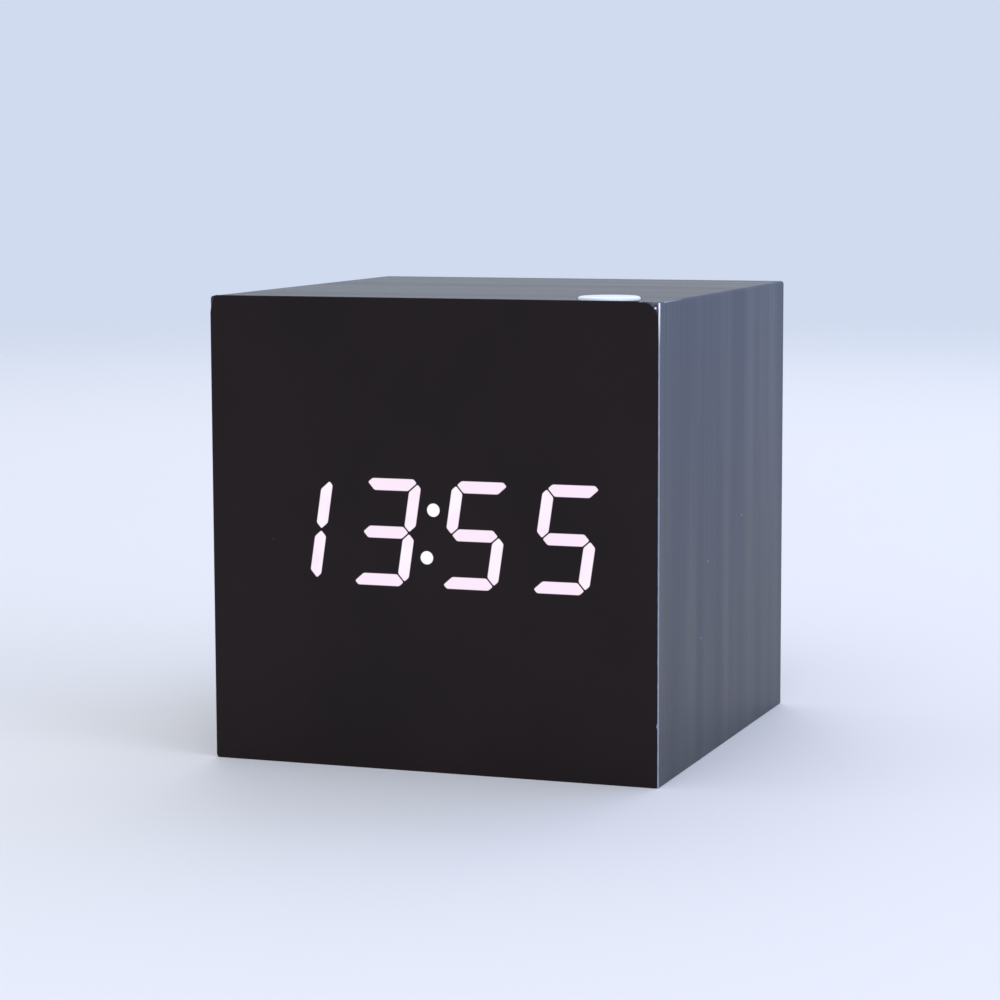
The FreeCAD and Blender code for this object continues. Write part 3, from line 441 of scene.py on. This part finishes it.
def light_tiles(figures):
    """One thin tile for each lit segment and dot, with a rim where the light dies away."""
    bm = bmesh.new()
    kind = bm.faces.layers.float.new("kind")   # 0 on an upright segment, 0.5 on a level one, 1 on a dot
    glow = bm.verts.layers.float.new("glow")
    add_lit_outlines(bm, figures.corner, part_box("front_film")[0].y)
    outline = set(bm.verts)
    for face in bm.faces:
        places = [[vert.co[axis] for vert in face.verts] for axis in (0, 2)]
        wide, tall = [max(line) - min(line) for line in places]
        if abs(wide - tall) < 0.1 * MM:
            face[kind] = 1.0
        elif wide > tall:
            face[kind] = 0.5
    bmesh.ops.inset_individual(bm, faces=bm.faces[:], thickness=figures.fringe_width, use_even_offset=True)
    for vert in bm.verts:
        vert[glow] = 0.0 if vert in outline else 1.0
    thicken(bm, figures.depth)
    return mesh_from(bm, "light_tiles")


def top_key_mesh(keys):
    """The white key: a slightly domed cap, and a stem with two snap ears under the top board."""
    low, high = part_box("top_button")
    radius, stem = (high.x - low.x) / 2, keys.top_stem / 2
    (x, y, _), foot, cap = middle("top_button"), low.z - high.z, -keys.top_cap
    profile = [(0, foot), (stem, foot), (stem, cap), (radius, cap)]
    profile += rounded(radius, -keys.top_crown, keys.top_edge, 6)
    inner = radius - keys.top_edge
    profile += [(inner * part, -keys.top_crown * part ** 2) for part in (0.8, 0.6, 0.4, 0.2, 0)]
    bm = bmesh.new()
    spin_profile(bm, profile, (x, y, high.z), (0, 0, 1), 96)
    tip, half = stem + keys.ear_reach, keys.ear_width / 2
    ear_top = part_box("top_board")[0].z - keys.ear_gap
    for vert in add_block(bm, (x - tip, y - half, ear_top - keys.ear_height), (x + tip, y + half, ear_top)):
        if vert.co.z < ear_top - HAIR:
            vert.co.x = x + math.copysign(stem * 0.8, vert.co.x - x)
    return mesh_from(bm, "top_key")


def rear_key_mesh(keys, node):
    """A rear key: a dished round cap, a square flange behind the cover, and a stem down to its switch."""
    low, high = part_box(node)
    radius, stem = keys.rear_diameter / 2, keys.stem_diameter / 2
    flange_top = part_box("rear_cover")[1].y - keys.flange_depth
    flange_low = flange_top - keys.flange_thickness
    foot, step = low.y - high.y, (flange_top + flange_low) / 2 - high.y
    profile = [(0, foot), (stem, foot), (stem, step), (radius, step)]
    profile += rounded(radius, 0, keys.rear_edge, 6)
    inner = radius - keys.rear_edge
    profile += [(inner * part, -keys.rear_dish * (1 - part ** 2)) for part in (0.85, 0.7, 0.5, 0.3, 0.15, 0)]
    bm = bmesh.new()
    x, _, z = middle(node)
    spin_profile(bm, profile, (x, high.y, z), (0, 1, 0), 72)
    add_block(bm, (low.x, flange_low, low.z), (high.x, flange_top, high.z))
    return mesh_from(bm, node)


def mark_mesh(keys):
    """Raised marks on the cover: a dot above the set key, arrowheads above the other two."""
    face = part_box("rear_cover")[1].y
    bm = bmesh.new()
    for node, corners, turn in (("set_button", 32, 0), ("up_button", 3, 180), ("down_button", 3, 0)):
        x, _, z = middle(node)
        place = (x, face + keys.mark_relief / 2, z + keys.mark_rise)
        bmesh.ops.create_cone(bm, cap_ends=True, segments=corners, radius1=keys.mark_size / 2,
                              radius2=keys.mark_size / 2 * keys.mark_taper, depth=keys.mark_relief,
                              matrix=Matrix.Translation(place) @ Matrix.Rotation(math.radians(turn), 4, "Y")
                              @ Matrix.Rotation(math.radians(-90), 4, "X"))
    return mesh_from(bm, "key_marks")


def screw_mesh(rear):
    """Pan-head screws with a tapered cross recess, in the corners of their shared box."""
    low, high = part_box("cover_screws")
    radius, shank, half = rear.screw_head / 2, rear.screw_shank / 2, rear.recess_width / 2
    tip, under = low.y - high.y, -rear.screw_head_height
    profile = [(0, tip), (rear.screw_tip / 2, tip), (shank, tip + shank), (shank, under), (radius, under)]
    profile += rounded(radius, 0, rear.screw_crown, 3)
    arm = ((half, 0, rear.recess_reach), (half, 0, half), (rear.recess_reach, 0, half))
    quarters = [Matrix.Rotation(math.radians(90 * turn), 3, "Y") for turn in range(4)]
    bm = bmesh.new()
    for place in [Vector((x, high.y, z)) for x in (low.x + radius, high.x - radius)
                  for z in (low.z + radius, high.z - radius)]:
        made = spin_profile(bm, profile, place, (0, 1, 0), 48)
        rim = {edge for vert in made for edge in vert.link_edges
               if edge.is_boundary and abs(edge.verts[0].co.y - place.y) < HAIR}
        cross = [bm.verts.new(place + quarter @ Vector(point)) for quarter in quarters for point in arm]
        loop = [bm.edges.new((cross[i - 1], cross[i])) for i in range(len(cross))]
        bmesh.ops.triangle_fill(bm, use_beauty=True, edges=list(rim) + loop, normal=(0, 1, 0))
        sunk = bmesh.ops.extrude_edge_only(bm, edges=loop)
        lowered = picked(sunk, bmesh.types.BMVert)
        bmesh.ops.translate(bm, verts=lowered, vec=(0, -rear.recess_depth, 0))
        bmesh.ops.scale(bm, verts=lowered, vec=(rear.recess_taper, 1, rear.recess_taper),
                        space=Matrix.Translation(-place))
        floor = [edge for edge in picked(sunk, bmesh.types.BMEdge) if all(v in lowered for v in edge.verts)]
        bmesh.ops.edgeloop_fill(bm, edges=floor)
    return mesh_from(bm, "cover_screw_set")


def cell_rows():
    """Axis height and the sign of the button end for each cell, lowest first."""
    low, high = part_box("battery_cells")
    radius = (high.y - low.y) / 2
    return [(low.z + radius, 1), (middle("battery_cells").z, -1), (high.z - radius, 1)]


def cell_mesh(rear, part):
    """The cells' sleeves with a banded end, or their metal cans."""
    low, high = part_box("battery_cells")
    radius = (high.y - low.y) / 2
    nub, rim, lap = rear.nub_diameter / 2, rear.cell_rim, rear.sleeve_lap
    body, mouth = rear.cell_length - rear.nub_height, nub + rear.mouth_gap
    can = radius - rim - lap
    bm = bmesh.new()
    band = bm.faces.layers.float.new("band")
    if part == "jacket":
        profile = [(can - lap / 2, 2 * lap), (can + lap, lap / 2)]
        profile += [(across, lap / 2 + rim - up) for across, up in rounded(radius, rim, rim)[-2::-1]]
        profile += [(radius, body - rear.band_length)] + rounded(radius, body, rim)
        profile += [(mouth + lap, body - lap / 5), (mouth, body - 3 * lap), (can + lap / 2, body - 3 * lap),
                    (can + lap / 2, 2 * lap), (can - lap / 2, 2 * lap)]
    else:
        profile = [(0, 0), (can - lap, 0), (can, 2.5 * lap), (can, body - 3.5 * lap),
                   (nub + 5 * lap, body - 3.5 * lap), (nub + 2 * lap, body - 3 * lap), (nub, body)]
        profile += rounded(nub, rear.cell_length, 3 * lap) + [(0, rear.cell_length)]
    for z, sign in cell_rows():
        start = Vector((sign * (high.x - rear.cell_length), middle("battery_cells").y, z))
        for vert in spin_profile(bm, profile, start, (sign, 0, 0), 64):
            for face in vert.link_faces:
                if sign * (face.calc_center_median().x - start.x) > body - rear.band_length:
                    face[band] = 1.0
    return mesh_from(bm, "cell_" + part)


def spring_mesh(rear):
    """Conical contact springs with a closed turn at each end, as round wire."""
    low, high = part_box("contact_springs")
    axis_y = middle("battery_cells").y
    wide, narrow = [(across - rear.spring_wire) / 2 for across in (rear.spring_base, rear.spring_tip)]
    steps = 40                 # points in a turn
    count = rear.spring_turns * steps + 1
    rise = rear.spring_length - rear.spring_wire
    curve = bpy.data.curves.new("spring_wire", "CURVE")
    curve.dimensions = "3D"
    curve.bevel_depth = rear.spring_wire / 2
    curve.bevel_resolution, curve.resolution_u = 3, 2
    curve.use_fill_caps = True
    for z, sign in cell_rows():
        seat = (high.x if sign < 0 else low.x) + sign * rear.spring_wire / 2
        spline = curve.splines.new("NURBS")
        spline.points.add(count - 1)
        for step in range(count):
            radius = wide + (narrow - wide) * step / (count - 1)
            climb = min(max((step / steps - rear.end_turns) / (rear.spring_turns - 2 * rear.end_turns), 0), 1)
            turn = 2 * math.pi * step / steps
            spline.points[step].co = (seat + sign * rise * climb, axis_y + radius * math.cos(turn),
                                      z + radius * math.sin(turn), 1)
        spline.order_u = 3
        spline.use_endpoint_u = True
    mesh = finished_mesh(add_object("spring_wire", curve))
    mesh.shade_smooth()
    return mesh


# ------------ materials
def add_node(tree, kind, inputs=None, output=0, **settings):
    """Adds a node and returns one of its outputs. Each input is a value or another node's output."""
    node = tree.nodes.new("ShaderNode" + kind)
    for name, value in settings.items():
        setattr(node, name, value)
    for socket, value in (inputs or {}).items():
        if isinstance(value, bpy.types.NodeSocket):
            tree.links.new(value, node.inputs[socket])
        else:
            node.inputs[socket].default_value = value
    return node.outputs[output] if node.outputs else None


def on_object(tree, kind, inputs=None, output=0, **settings):
    """Adds a node that reads Object coordinates."""
    place = add_node(tree, "TexCoord", output="Object")
    return add_node(tree, kind, {"Vector": place, **(inputs or {})}, output, **settings)


def new_material(name):
    """A material whose tree is still empty, and that tree."""
    material = bpy.data.materials.new(name)
    material.use_nodes = True
    material.node_tree.nodes.clear()
    return material, material.node_tree


def finish(material, height=None, relief=0.0, **inputs):
    """Ends a material with one shader. Its inputs have _ for a space, and height stands out by relief."""
    tree = material.node_tree
    inputs = {socket.replace("_", " "): value for socket, value in inputs.items()}
    if relief:
        inputs["Normal"] = add_node(tree, "Bump", {"Height": height, "Distance": relief})
    add_node(tree, "OutputMaterial", {"Surface": add_node(tree, "BsdfPrincipled", inputs)})
    return material


def toned(tone, share):
    """A colour made lighter or darker by a share."""
    return [channel * share for channel in tone[:3]] + [1.0]


def two_tone(tree, pattern, low, high, first, second, most=1.0):
    """The first colour where a pattern is below low, and up to most of the second where it is above high."""
    share = add_node(tree, "MapRange", {"Value": pattern, "From Min": low, "From Max": high, "To Max": most})
    return add_node(tree, "Mix", {"Factor": share, MIX_A: first, MIX_B: second}, MIX_RESULT, data_type="RGBA")


def grain(tree, across, along, detail):
    """Straight grain that runs round the case: streaks narrow along Y and long the other ways."""
    stretch = on_object(tree, "Mapping", {"Scale": (1 / along, 1 / across, 1 / along)})
    return add_node(tree, "TexNoise", {"Vector": stretch, "Scale": 1.0, "Detail": detail, "Roughness": 0.6})


def mottle(tree, size, detail=2.0):
    """Even noise with blotches of about the given size."""
    return on_object(tree, "TexNoise", {"Scale": 1 / size, "Detail": detail})


def specks(tree, spacing, radius, share):
    """Round specks in a share of the places, a spacing apart: 1 inside a speck and 0 elsewhere."""
    away = on_object(tree, "TexVoronoi", {"Scale": 1 / spacing}, "Distance")
    edge = radius / spacing
    near = add_node(tree, "MapRange", {"Value": away, "From Min": edge, "From Max": edge * 0.4})
    draw = add_node(tree, "SeparateColor", {"Color": away.node.outputs["Color"]}, "Red")
    chosen = add_node(tree, "Math", {0: draw, 1: share}, operation="LESS_THAN")
    return add_node(tree, "Math", {0: near, 1: chosen}, operation="MULTIPLY")


def smoked_film(look):
    """Smoked PET film, calendered: deep, even black with a soft sheen, and a painted highlight along the
    right part of its upper edge.
    """
    material, tree = new_material("pet_film_smoked")
    # Painted highlight: the marked edge faces turn unevenly towards the pale core colour.
    edge = add_node(tree, "Attribute", output="Fac", attribute_name="painted_edge_highlight")
    highlight_unevenness = add_node(tree, "MapRange", {"Value": mottle(tree, 1.1 * MM, 3.0), "From Min": 0.4,
                                       "From Max": 0.65, "To Min": 0.1, "To Max": 0.9})
    edge_highlight = add_node(tree, "Math", {0: edge, 1: highlight_unevenness}, operation="MULTIPLY")
    cloudy = two_tone(tree, mottle(tree, 18 * MM), 0.3, 0.7, look.smoke, toned(look.smoke, 1.25))
    dusty = two_tone(tree, specks(tree, 11 * MM, 0.13 * MM, 0.35), 0, 1, cloudy, linear("#4A4648"))
    return finish(material, mottle(tree, 0.6 * MM), 0.002 * MM, Roughness=0.36, IOR=1.45,
                  Specular_IOR_Level=0.16, Base_Color=two_tone(tree, edge_highlight, 0, 1, dusty, look.core_low))


def film_core_with_highlight(look):
    """Bare core of PVC film where it was cut, dull, with a painted highlight: whitened towards the top of the
    cut and near the front, where the edge catches light.
    """
    material, tree = new_material("pvc_film_core_painted_highlight")
    rear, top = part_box("front_film")[1].yz
    height = on_object(tree, "SeparateXYZ", output="Z")
    depth = height.node.outputs["Y"]
    worn = two_tone(tree, mottle(tree, 1.5 * MM, 3.0), 0.3, 0.7, look.core_low, toned(look.core_low, 0.8))
    # Painted highlight: the core turns whiter towards the top, and only near the front.
    white = two_tone(tree, height, top - look.core_fade_from, top - look.core_fade_to, worn, look.core_highlight)
    base = two_tone(tree, depth, rear + look.fold_highlight_start, rear + look.fold_highlight_start / 2, worn, white)
    return finish(material, Base_Color=base, Roughness=0.5, IOR=1.5)


def grain_film(look):
    """Printed PVC film, embossed with a straight grain: near black and satin, in streaks that catch light."""
    material, tree = new_material("pvc_film_embossed")
    fine = grain(tree, look.streak_width, look.streak_length, 4.0)
    bands = grain(tree, look.band_width, look.band_length, 1.0)
    both = two_tone(tree, bands, 0.4, 0.6, look.grain_dark, look.grain_light)
    streaky = two_tone(tree, fine, 0.35, 0.75, both, look.grain_light, 0.6)
    dusty = two_tone(tree, specks(tree, 5 * MM, 0.16 * MM, 0.3), 0, 1, streaky, look.dust)
    uneven = add_node(tree, "Math", {0: fine, 1: 0.5, 2: bands}, operation="MULTIPLY_ADD")
    satin = add_node(tree, "MapRange", {
        "Value": uneven, "From Min": 0.57, "From Max": 0.93, "To Min": 0.38, "To Max": 0.48})
    return finish(material, fine, look.emboss, Base_Color=dusty, Roughness=satin, IOR=1.5)


def segment_light(figures):
    """Light of white LEDs through resin and smoked film: flat and bright, with a dark rim."""
    material, tree = new_material("light_through_film")
    kind = add_node(tree, "Attribute", output="Fac", attribute_name="kind")
    glow = add_node(tree, "Attribute", output="Fac", attribute_name="glow")
    bars = two_tone(tree, kind, 0.0, 0.5, figures.upright, figures.level)
    uneven = two_tone(tree, mottle(tree, 5 * MM), 0.4, 0.65, bars, figures.level)
    lit = two_tone(tree, kind, 0.6, 1.0, uneven, figures.dot)
    return finish(material, Base_Color=linear("#141014"), Roughness=0.4, Specular_IOR_Level=0.2,
                  Emission_Color=two_tone(tree, glow, 0, 1, figures.fringe, lit), Emission_Strength=1.0)


def white_plastic(keys):
    """White ABS, moulded and lightly polished: clean, with a broad soft highlight."""
    material, tree = new_material("abs_white_moulded")
    base = two_tone(tree, mottle(tree, 3 * MM), 0.3, 0.7, keys.white, toned(keys.white, 0.93))
    return finish(material, mottle(tree, 0.5 * MM), 0.002 * MM, Base_Color=base, Roughness=0.3, IOR=1.5)


def black_plastic(name, tone, roughness, grit, relief):
    """Black ABS from a spark-eroded mould: dull, with a fine even grit."""
    material, tree = new_material(name)
    base = two_tone(tree, mottle(tree, 9 * MM, 3.0), 0.3, 0.7, tone, toned(tone, 1.5))
    return finish(material, mottle(tree, grit, 3.0), relief, Base_Color=base, Roughness=roughness, IOR=1.5)


def metal(name, value, roughness):
    """Plated or drawn metal: bright, with faint rub marks."""
    material, tree = new_material(name)
    rub = mottle(tree, 0.25 * MM, 3.0)
    base = two_tone(tree, rub, 0.35, 0.65, linear(value), toned(linear(value), 0.8))
    dulled = add_node(tree, "MapRange", {"Value": rub, "From Min": 0.3, "From Max": 0.7,
                                         "To Min": roughness * 0.8, "To Max": roughness * 1.25})
    return finish(material, Metallic=1.0, Base_Color=base, Roughness=dulled)


def blotched(name, first, second, size, roughness, relief=0.0, **inputs):
    """A surface that wavers between two tones in blotches of one size, which may stand out of it."""
    material, tree = new_material(name)
    blotches = mottle(tree, size, 4.0)
    base = two_tone(tree, blotches, 0.35, 0.65, linear(first), linear(second))
    return finish(material, blotches, relief, Base_Color=base, Roughness=roughness, **inputs)


def cell_sleeve(rear):
    """Heat-shrunk PVC sleeve: dark and glossy, with a plain paler band at the button end."""
    material, tree = new_material("pvc_sleeve_shrunk")
    band = add_node(tree, "Attribute", output="Fac", attribute_name="band")
    return finish(material, Roughness=0.28, IOR=1.5,
                  Base_Color=two_tone(tree, band, 0, 1, rear.sleeve, rear.sleeve_band))


def ribbon_sheath():
    """Grey PVC flat cable, extruded: parallel cores show as fine ridges along it."""
    material, tree = new_material("pvc_ribbon_cable")
    core_pitch = 1.27 * MM
    ridges = on_object(tree, "TexWave", {"Scale": math.pi / 10 / core_pitch}, "Fac", bands_direction="X")
    base = two_tone(tree, ridges, 0, 1, linear("#6F7378"), linear("#8C9095"))
    return finish(material, ridges, 0.1 * MM, Base_Color=base, Roughness=0.5)


def circuit_mask():
    """Green solder mask over copper, printed: a dim check of tracks under a glossy skin."""
    material, tree = new_material("solder_mask_green")
    patch = 25 / 3 * MM        # length of one patch of tracks; the texture's brick is half a unit long
    tracks = on_object(tree, "TexBrick", {"Scale": 0.5 / patch, "Mortar Size": 0.03,
                                          "Color1": linear("#0E4A2A"), "Color2": linear("#11542F"),
                                          "Mortar": linear("#2A7A4A")})
    return finish(material, Base_Color=tracks, Roughness=0.3, IOR=1.5)


def dress(material, *nodes):
    """Gives a material to CAD nodes that keep their own shape."""
    for node in nodes:
        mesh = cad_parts[node].data
        mesh.materials.clear()
        mesh.materials.append(material)


# ------------ operators
class CLOCK_OT_front_film(bpy.types.Operator):
    """Make the smoked front film with its trimmed edge"""

    bl_idname = "clock.front_film"
    bl_label = "Front Film"

    def execute(self, context):
        look, figures = context.scene.clock_films, context.scene.clock_figures
        add_piece("front_film_sheet", film_sheet(look, figures), smoked_film(look), "case",
                  ["front_film"])
        add_piece("wrap_film_core_with_highlights", film_core_mesh(look), film_core_with_highlight(look), "case")
        return {"FINISHED"}


class CLOCK_OT_lit_figures(bpy.types.Operator):
    """Make the lit segments and the colon in the film"""

    bl_idname = "clock.lit_figures"
    bl_label = "Lit Figures"

    def execute(self, context):
        figures = context.scene.clock_figures
        add_piece("light_tiles", light_tiles(figures), segment_light(figures), "case")
        return {"FINISHED"}


class CLOCK_OT_case_films(bpy.types.Operator):
    """Finish the grain film, and turn its corner over the front"""

    bl_idname = "clock.case_films"
    bl_label = "Case Films"

    def execute(self, context):
        look = context.scene.clock_films
        dress(grain_film(look), "wrap_film", "base_film", "rear_edge_film")
        # Painted sheen: the turned corner is a paler blue-grey, the tone the film shows where it catches
        # light.
        turn_sheen = blotched("pvc_film_painted_sheen", "#363B4A", "#5A6070", 0.5 * MM, 0.45, 0.01 * MM)
        add_piece("wrap_film_turn", film_turn_mesh(look), turn_sheen, "case")
        return {"FINISHED"}


class CLOCK_OT_keys(bpy.types.Operator):
    """Make the white key on top and the three rear keys with their marks"""

    bl_idname = "clock.keys"
    bl_label = "Keys"

    def execute(self, context):
        keys = context.scene.clock_keys
        add_piece("top_key_cap", top_key_mesh(keys), white_plastic(keys), "top_key",
                  ["top_button"])
        black = black_plastic("abs_black_key", keys.black, 0.42, 0.25 * MM, 0.004 * MM)
        for name in ("set", "up", "down"):
            node = name + "_button"
            add_piece(name + "_key_cap", rear_key_mesh(keys, node), black, name + "_key",
                      [node])
        ink = black_plastic("ink_grey_rolled_on", keys.mark, 0.45, 0.25 * MM, 0.002 * MM)
        add_piece("key_marks", mark_mesh(keys), ink, "case")
        return {"FINISHED"}


class CLOCK_OT_rear(bpy.types.Operator):
    """Finish the rear cover, door and socket, and make the cover screws"""

    bl_idname = "clock.rear"
    bl_label = "Rear Cover"

    def execute(self, context):
        rear = context.scene.clock_rear
        dress(black_plastic("abs_black_eroded", rear.moulding, 0.52, 0.3 * MM, 0.012 * MM),
              "rear_cover", "battery_door")
        plungers = [key + "_switch_plunger" for key in ("set", "up", "down", "top")]
        dress(black_plastic("nylon_black_moulded", rear.moulding, 0.4, 0.5 * MM, 0.004 * MM), "power_socket",
              "rear_switches", "top_switch", *plungers, "alarm_buzzer", "reflector_block")
        dress(metal("brass_turned", "#C9A869", 0.3), "socket_pin")
        add_piece("cover_screw_set", screw_mesh(rear), metal("steel_blackened", "#3A3A3D", 0.34), "case",
                  ["cover_screws"])
        return {"FINISHED"}


class CLOCK_OT_battery_bay(bpy.types.Operator):
    """Make the cells and springs, and finish the contacts"""

    bl_idname = "clock.battery_bay"
    bl_label = "Battery Bay"

    def execute(self, context):
        rear = context.scene.clock_rear
        nickel = metal("nickel_plate", "#B9B7B1", 0.26)
        add_piece("cell_jackets", cell_mesh(rear, "jacket"), cell_sleeve(rear), "case",
                  ["battery_cells"])
        add_piece("cell_ends", cell_mesh(rear, "ends"), nickel, "case")
        add_piece("spring_set", spring_mesh(rear), nickel, "case", ["contact_springs"])
        dress(nickel, "plus_terminal", "minus_terminal", "bridge_contacts")
        return {"FINISHED"}


class CLOCK_OT_inside(bpy.types.Operator):
    """Finish the boards and the electronics inside the case"""

    bl_idname = "clock.inside"
    bl_label = "Inside"

    def execute(self, context):
        # Sawn board is dull and fibrous, epoxy dull, gel, resin and nylon milky, and shrunk sleeve glossy.
        boards = [side + "_board" for side in ("front", "top", "bottom", "left", "right")]
        dress(blotched("fibreboard_dyed", "#231F1C", "#312B27", 0.4 * MM, 0.85, 0.05 * MM), *boards,
              "corner_blocks")
        dress(circuit_mask(), "display_board", "main_board")
        dress(blotched("epoxy_filled", "#151515", "#202021", 0.3 * MM, 0.55, 0.01 * MM), "display_driver",
              "control_chip")
        dress(blotched("phosphor_gel", "#D9C45A", "#E6D678", 0.3 * MM, 0.35), "display_leds")
        dress(blotched("resin_milky", "#9C9898", "#ABA7A7", 2 * MM, 0.5), "unlit_segments")
        dress(blotched("resin_lit", "#F4EAF4", "#FBF2FB", 2 * MM, 0.5, Emission_Color=linear("#FDE8FD"),
                       Emission_Strength=1.0), "lit_segments", "colon_dots")
        dress(blotched("nylon_natural", "#D8D3C4", "#E2DDCF", 1 * MM, 0.45), "ribbon_sockets", "ribbon_plugs")
        dress(blotched("sleeve_navy", "#12152A", "#191D36", 2 * MM, 0.3), "supply_capacitor")
        dress(ribbon_sheath(), "link_ribbon")
        dress(metal("zinc_plate", "#A5A7A6", 0.35), "display_screws", "main_board_screws")
        dress(metal("aluminium_drawn", "#C6C7CA", 0.3), "clock_crystal")
        return {"FINISHED"}


class CLOCK_OT_studio(bpy.types.Operator):
    """Set up the floor, the lamps, the backdrop and the camera"""

    bl_idname = "clock.studio"
    bl_label = "Studio"

    def execute(self, context):
        studio = context.scene.clock_studio
        self.add_floor(studio)
        self.add_backdrop(context.scene, studio)
        self.add_lamps()
        self.add_camera(context.scene, studio)
        return {"FINISHED"}

    def add_floor(self, studio):
        """A round floor that fades into the backdrop far from the clock."""
        bm = bmesh.new()
        bmesh.ops.create_circle(bm, cap_ends=True, radius=studio.floor_radius, segments=96)
        floor = add_object("studio_floor", mesh_from(bm, "floor", False))
        material, tree = new_material("paper_pale")
        away = on_object(tree, "VectorMath", output="Value", operation="LENGTH")
        clear = add_node(tree, "MapRange", {"Value": away, "From Min": studio.fade_from,
                                            "From Max": studio.fade_to}, interpolation_type="SMOOTHSTEP")
        paper = add_node(tree, "BsdfPrincipled", {
            "Base Color": studio.floor, "Roughness": 0.8, "Specular IOR Level": 0.2})
        faded = add_node(tree, "MixShader", {0: clear, 1: paper, 2: add_node(tree, "BsdfTransparent")})
        add_node(tree, "OutputMaterial", {"Surface": faded})
        floor.data.materials.append(material)

    def add_backdrop(self, scene, studio):
        """A pale surround that the camera and reflections see, and a softer one that lights the clock."""
        scene.world = bpy.data.worlds.new("studio_surround")
        scene.world.use_nodes = True
        tree = scene.world.node_tree
        tree.nodes.clear()
        camera = add_node(tree, "LightPath", output="Is Camera Ray")
        gloss, through = [camera.node.outputs[kind] for kind in ("Is Glossy Ray", "Is Transmission Ray")]
        either = add_node(tree, "Math", {0: camera, 1: gloss}, operation="MAXIMUM")
        seen = add_node(tree, "Math", {0: either, 1: through}, operation="MAXIMUM")
        light = add_node(tree, "Background", {"Color": linear("#F2F5FF"), "Strength": 0.84})
        shown = add_node(tree, "Background", {"Color": studio.backdrop, "Strength": 1.0})
        add_node(tree, "OutputWorld", {"Surface": add_node(tree, "MixShader", {0: seen, 1: light, 2: shown})})
        scene.view_settings.view_transform = "Standard"

    def add_lamps(self):
        """A broad key in front, a cool fill on the right, a light behind and a blue window beside it."""
        aim = Vector((0, 0, 0.03))
        for name, place, size, watts, tone in (
                ("key", (0.15, -0.85, 0.95), 0.9, 4.4, "#FFFDF9"),
                ("fill", (1.0, -0.3, 0.42), 0.8, 5.2, "#D4DFFC"),
                ("rear", (-0.15, 0.85, 1.0), 0.9, 4.6, "#FFFEFA"),
                ("window", (0.84, 0.98, 0.48), 1.1, 5.6, "#86A9FF")):
            data = bpy.data.lights.new("studio_" + name, "AREA")
            data.shape = "SQUARE"
            data.size = size
            data.energy = watts
            data.color = linear(tone)[:3]
            lamp = add_object("studio_" + name, data)
            lamp.location = place
            lamp.rotation_euler = (aim - Vector(place)).to_track_quat("-Z", "Y").to_euler()

    def add_camera(self, scene, studio):
        """A camera that looks at its target from a bearing and a distance."""
        data = bpy.data.cameras.new("studio_camera")
        data.lens = studio.lens / MM
        data.clip_start, data.clip_end = 0.02, 20.0
        camera = add_object("studio_camera", data)
        level = math.cos(studio.elevation)
        back = Vector((math.sin(studio.azimuth) * level, -math.cos(studio.azimuth) * level,
                       math.sin(studio.elevation)))
        camera.rotation_mode = "QUATERNION"
        roll = Matrix.Rotation(studio.roll, 3, "Z").to_quaternion()
        camera.rotation_quaternion = (-back).to_track_quat("-Z", "Y") @ roll
        camera.location = Vector(studio.target) + back * studio.distance
        scene.camera = camera


class CLOCK_PT_panel(bpy.types.Panel):
    """Lists the steps that dress the clock"""

    bl_idname = "CLOCK_PT_panel"
    bl_label = "Cube Clock"
    bl_space_type = "VIEW_3D"
    bl_region_type = "UI"
    bl_category = "Clock"

    def draw(self, context):
        for step in STEPS:
            self.layout.operator(step.bl_idname)
        for group in GROUPS:
            settings = getattr(context.scene, GROUPS[group])
            box = self.layout.box()
            for name in group.__annotations__:
                box.prop(settings, name)


GROUPS = {ClockFilms: "clock_films", ClockFigures: "clock_figures", ClockKeys: "clock_keys",
          ClockRear: "clock_rear", ClockStudio: "clock_studio"}
STEPS = (CLOCK_OT_studio, CLOCK_OT_front_film, CLOCK_OT_lit_figures, CLOCK_OT_case_films, CLOCK_OT_keys,
         CLOCK_OT_rear, CLOCK_OT_battery_bay, CLOCK_OT_inside)
CLASSES = (*GROUPS, *STEPS, CLOCK_PT_panel)


def register():
    for item in CLASSES:
        bpy.utils.register_class(item)
    for group, name in GROUPS.items():
        setattr(bpy.types.Scene, name, PointerProperty(type=group))


def unregister():
    for name in GROUPS.values():
        delattr(bpy.types.Scene, name)
    for item in reversed(CLASSES):
        bpy.utils.unregister_class(item)


def main():
    """Dresses the clock step by step."""
    register()
    bpy.ops.clock.studio()
    bpy.ops.clock.front_film()
    bpy.ops.clock.lit_figures()
    bpy.ops.clock.case_films()
    bpy.ops.clock.keys()
    bpy.ops.clock.rear()
    bpy.ops.clock.battery_bay()
    bpy.ops.clock.inside()


if __name__ == "__main__":
    main()
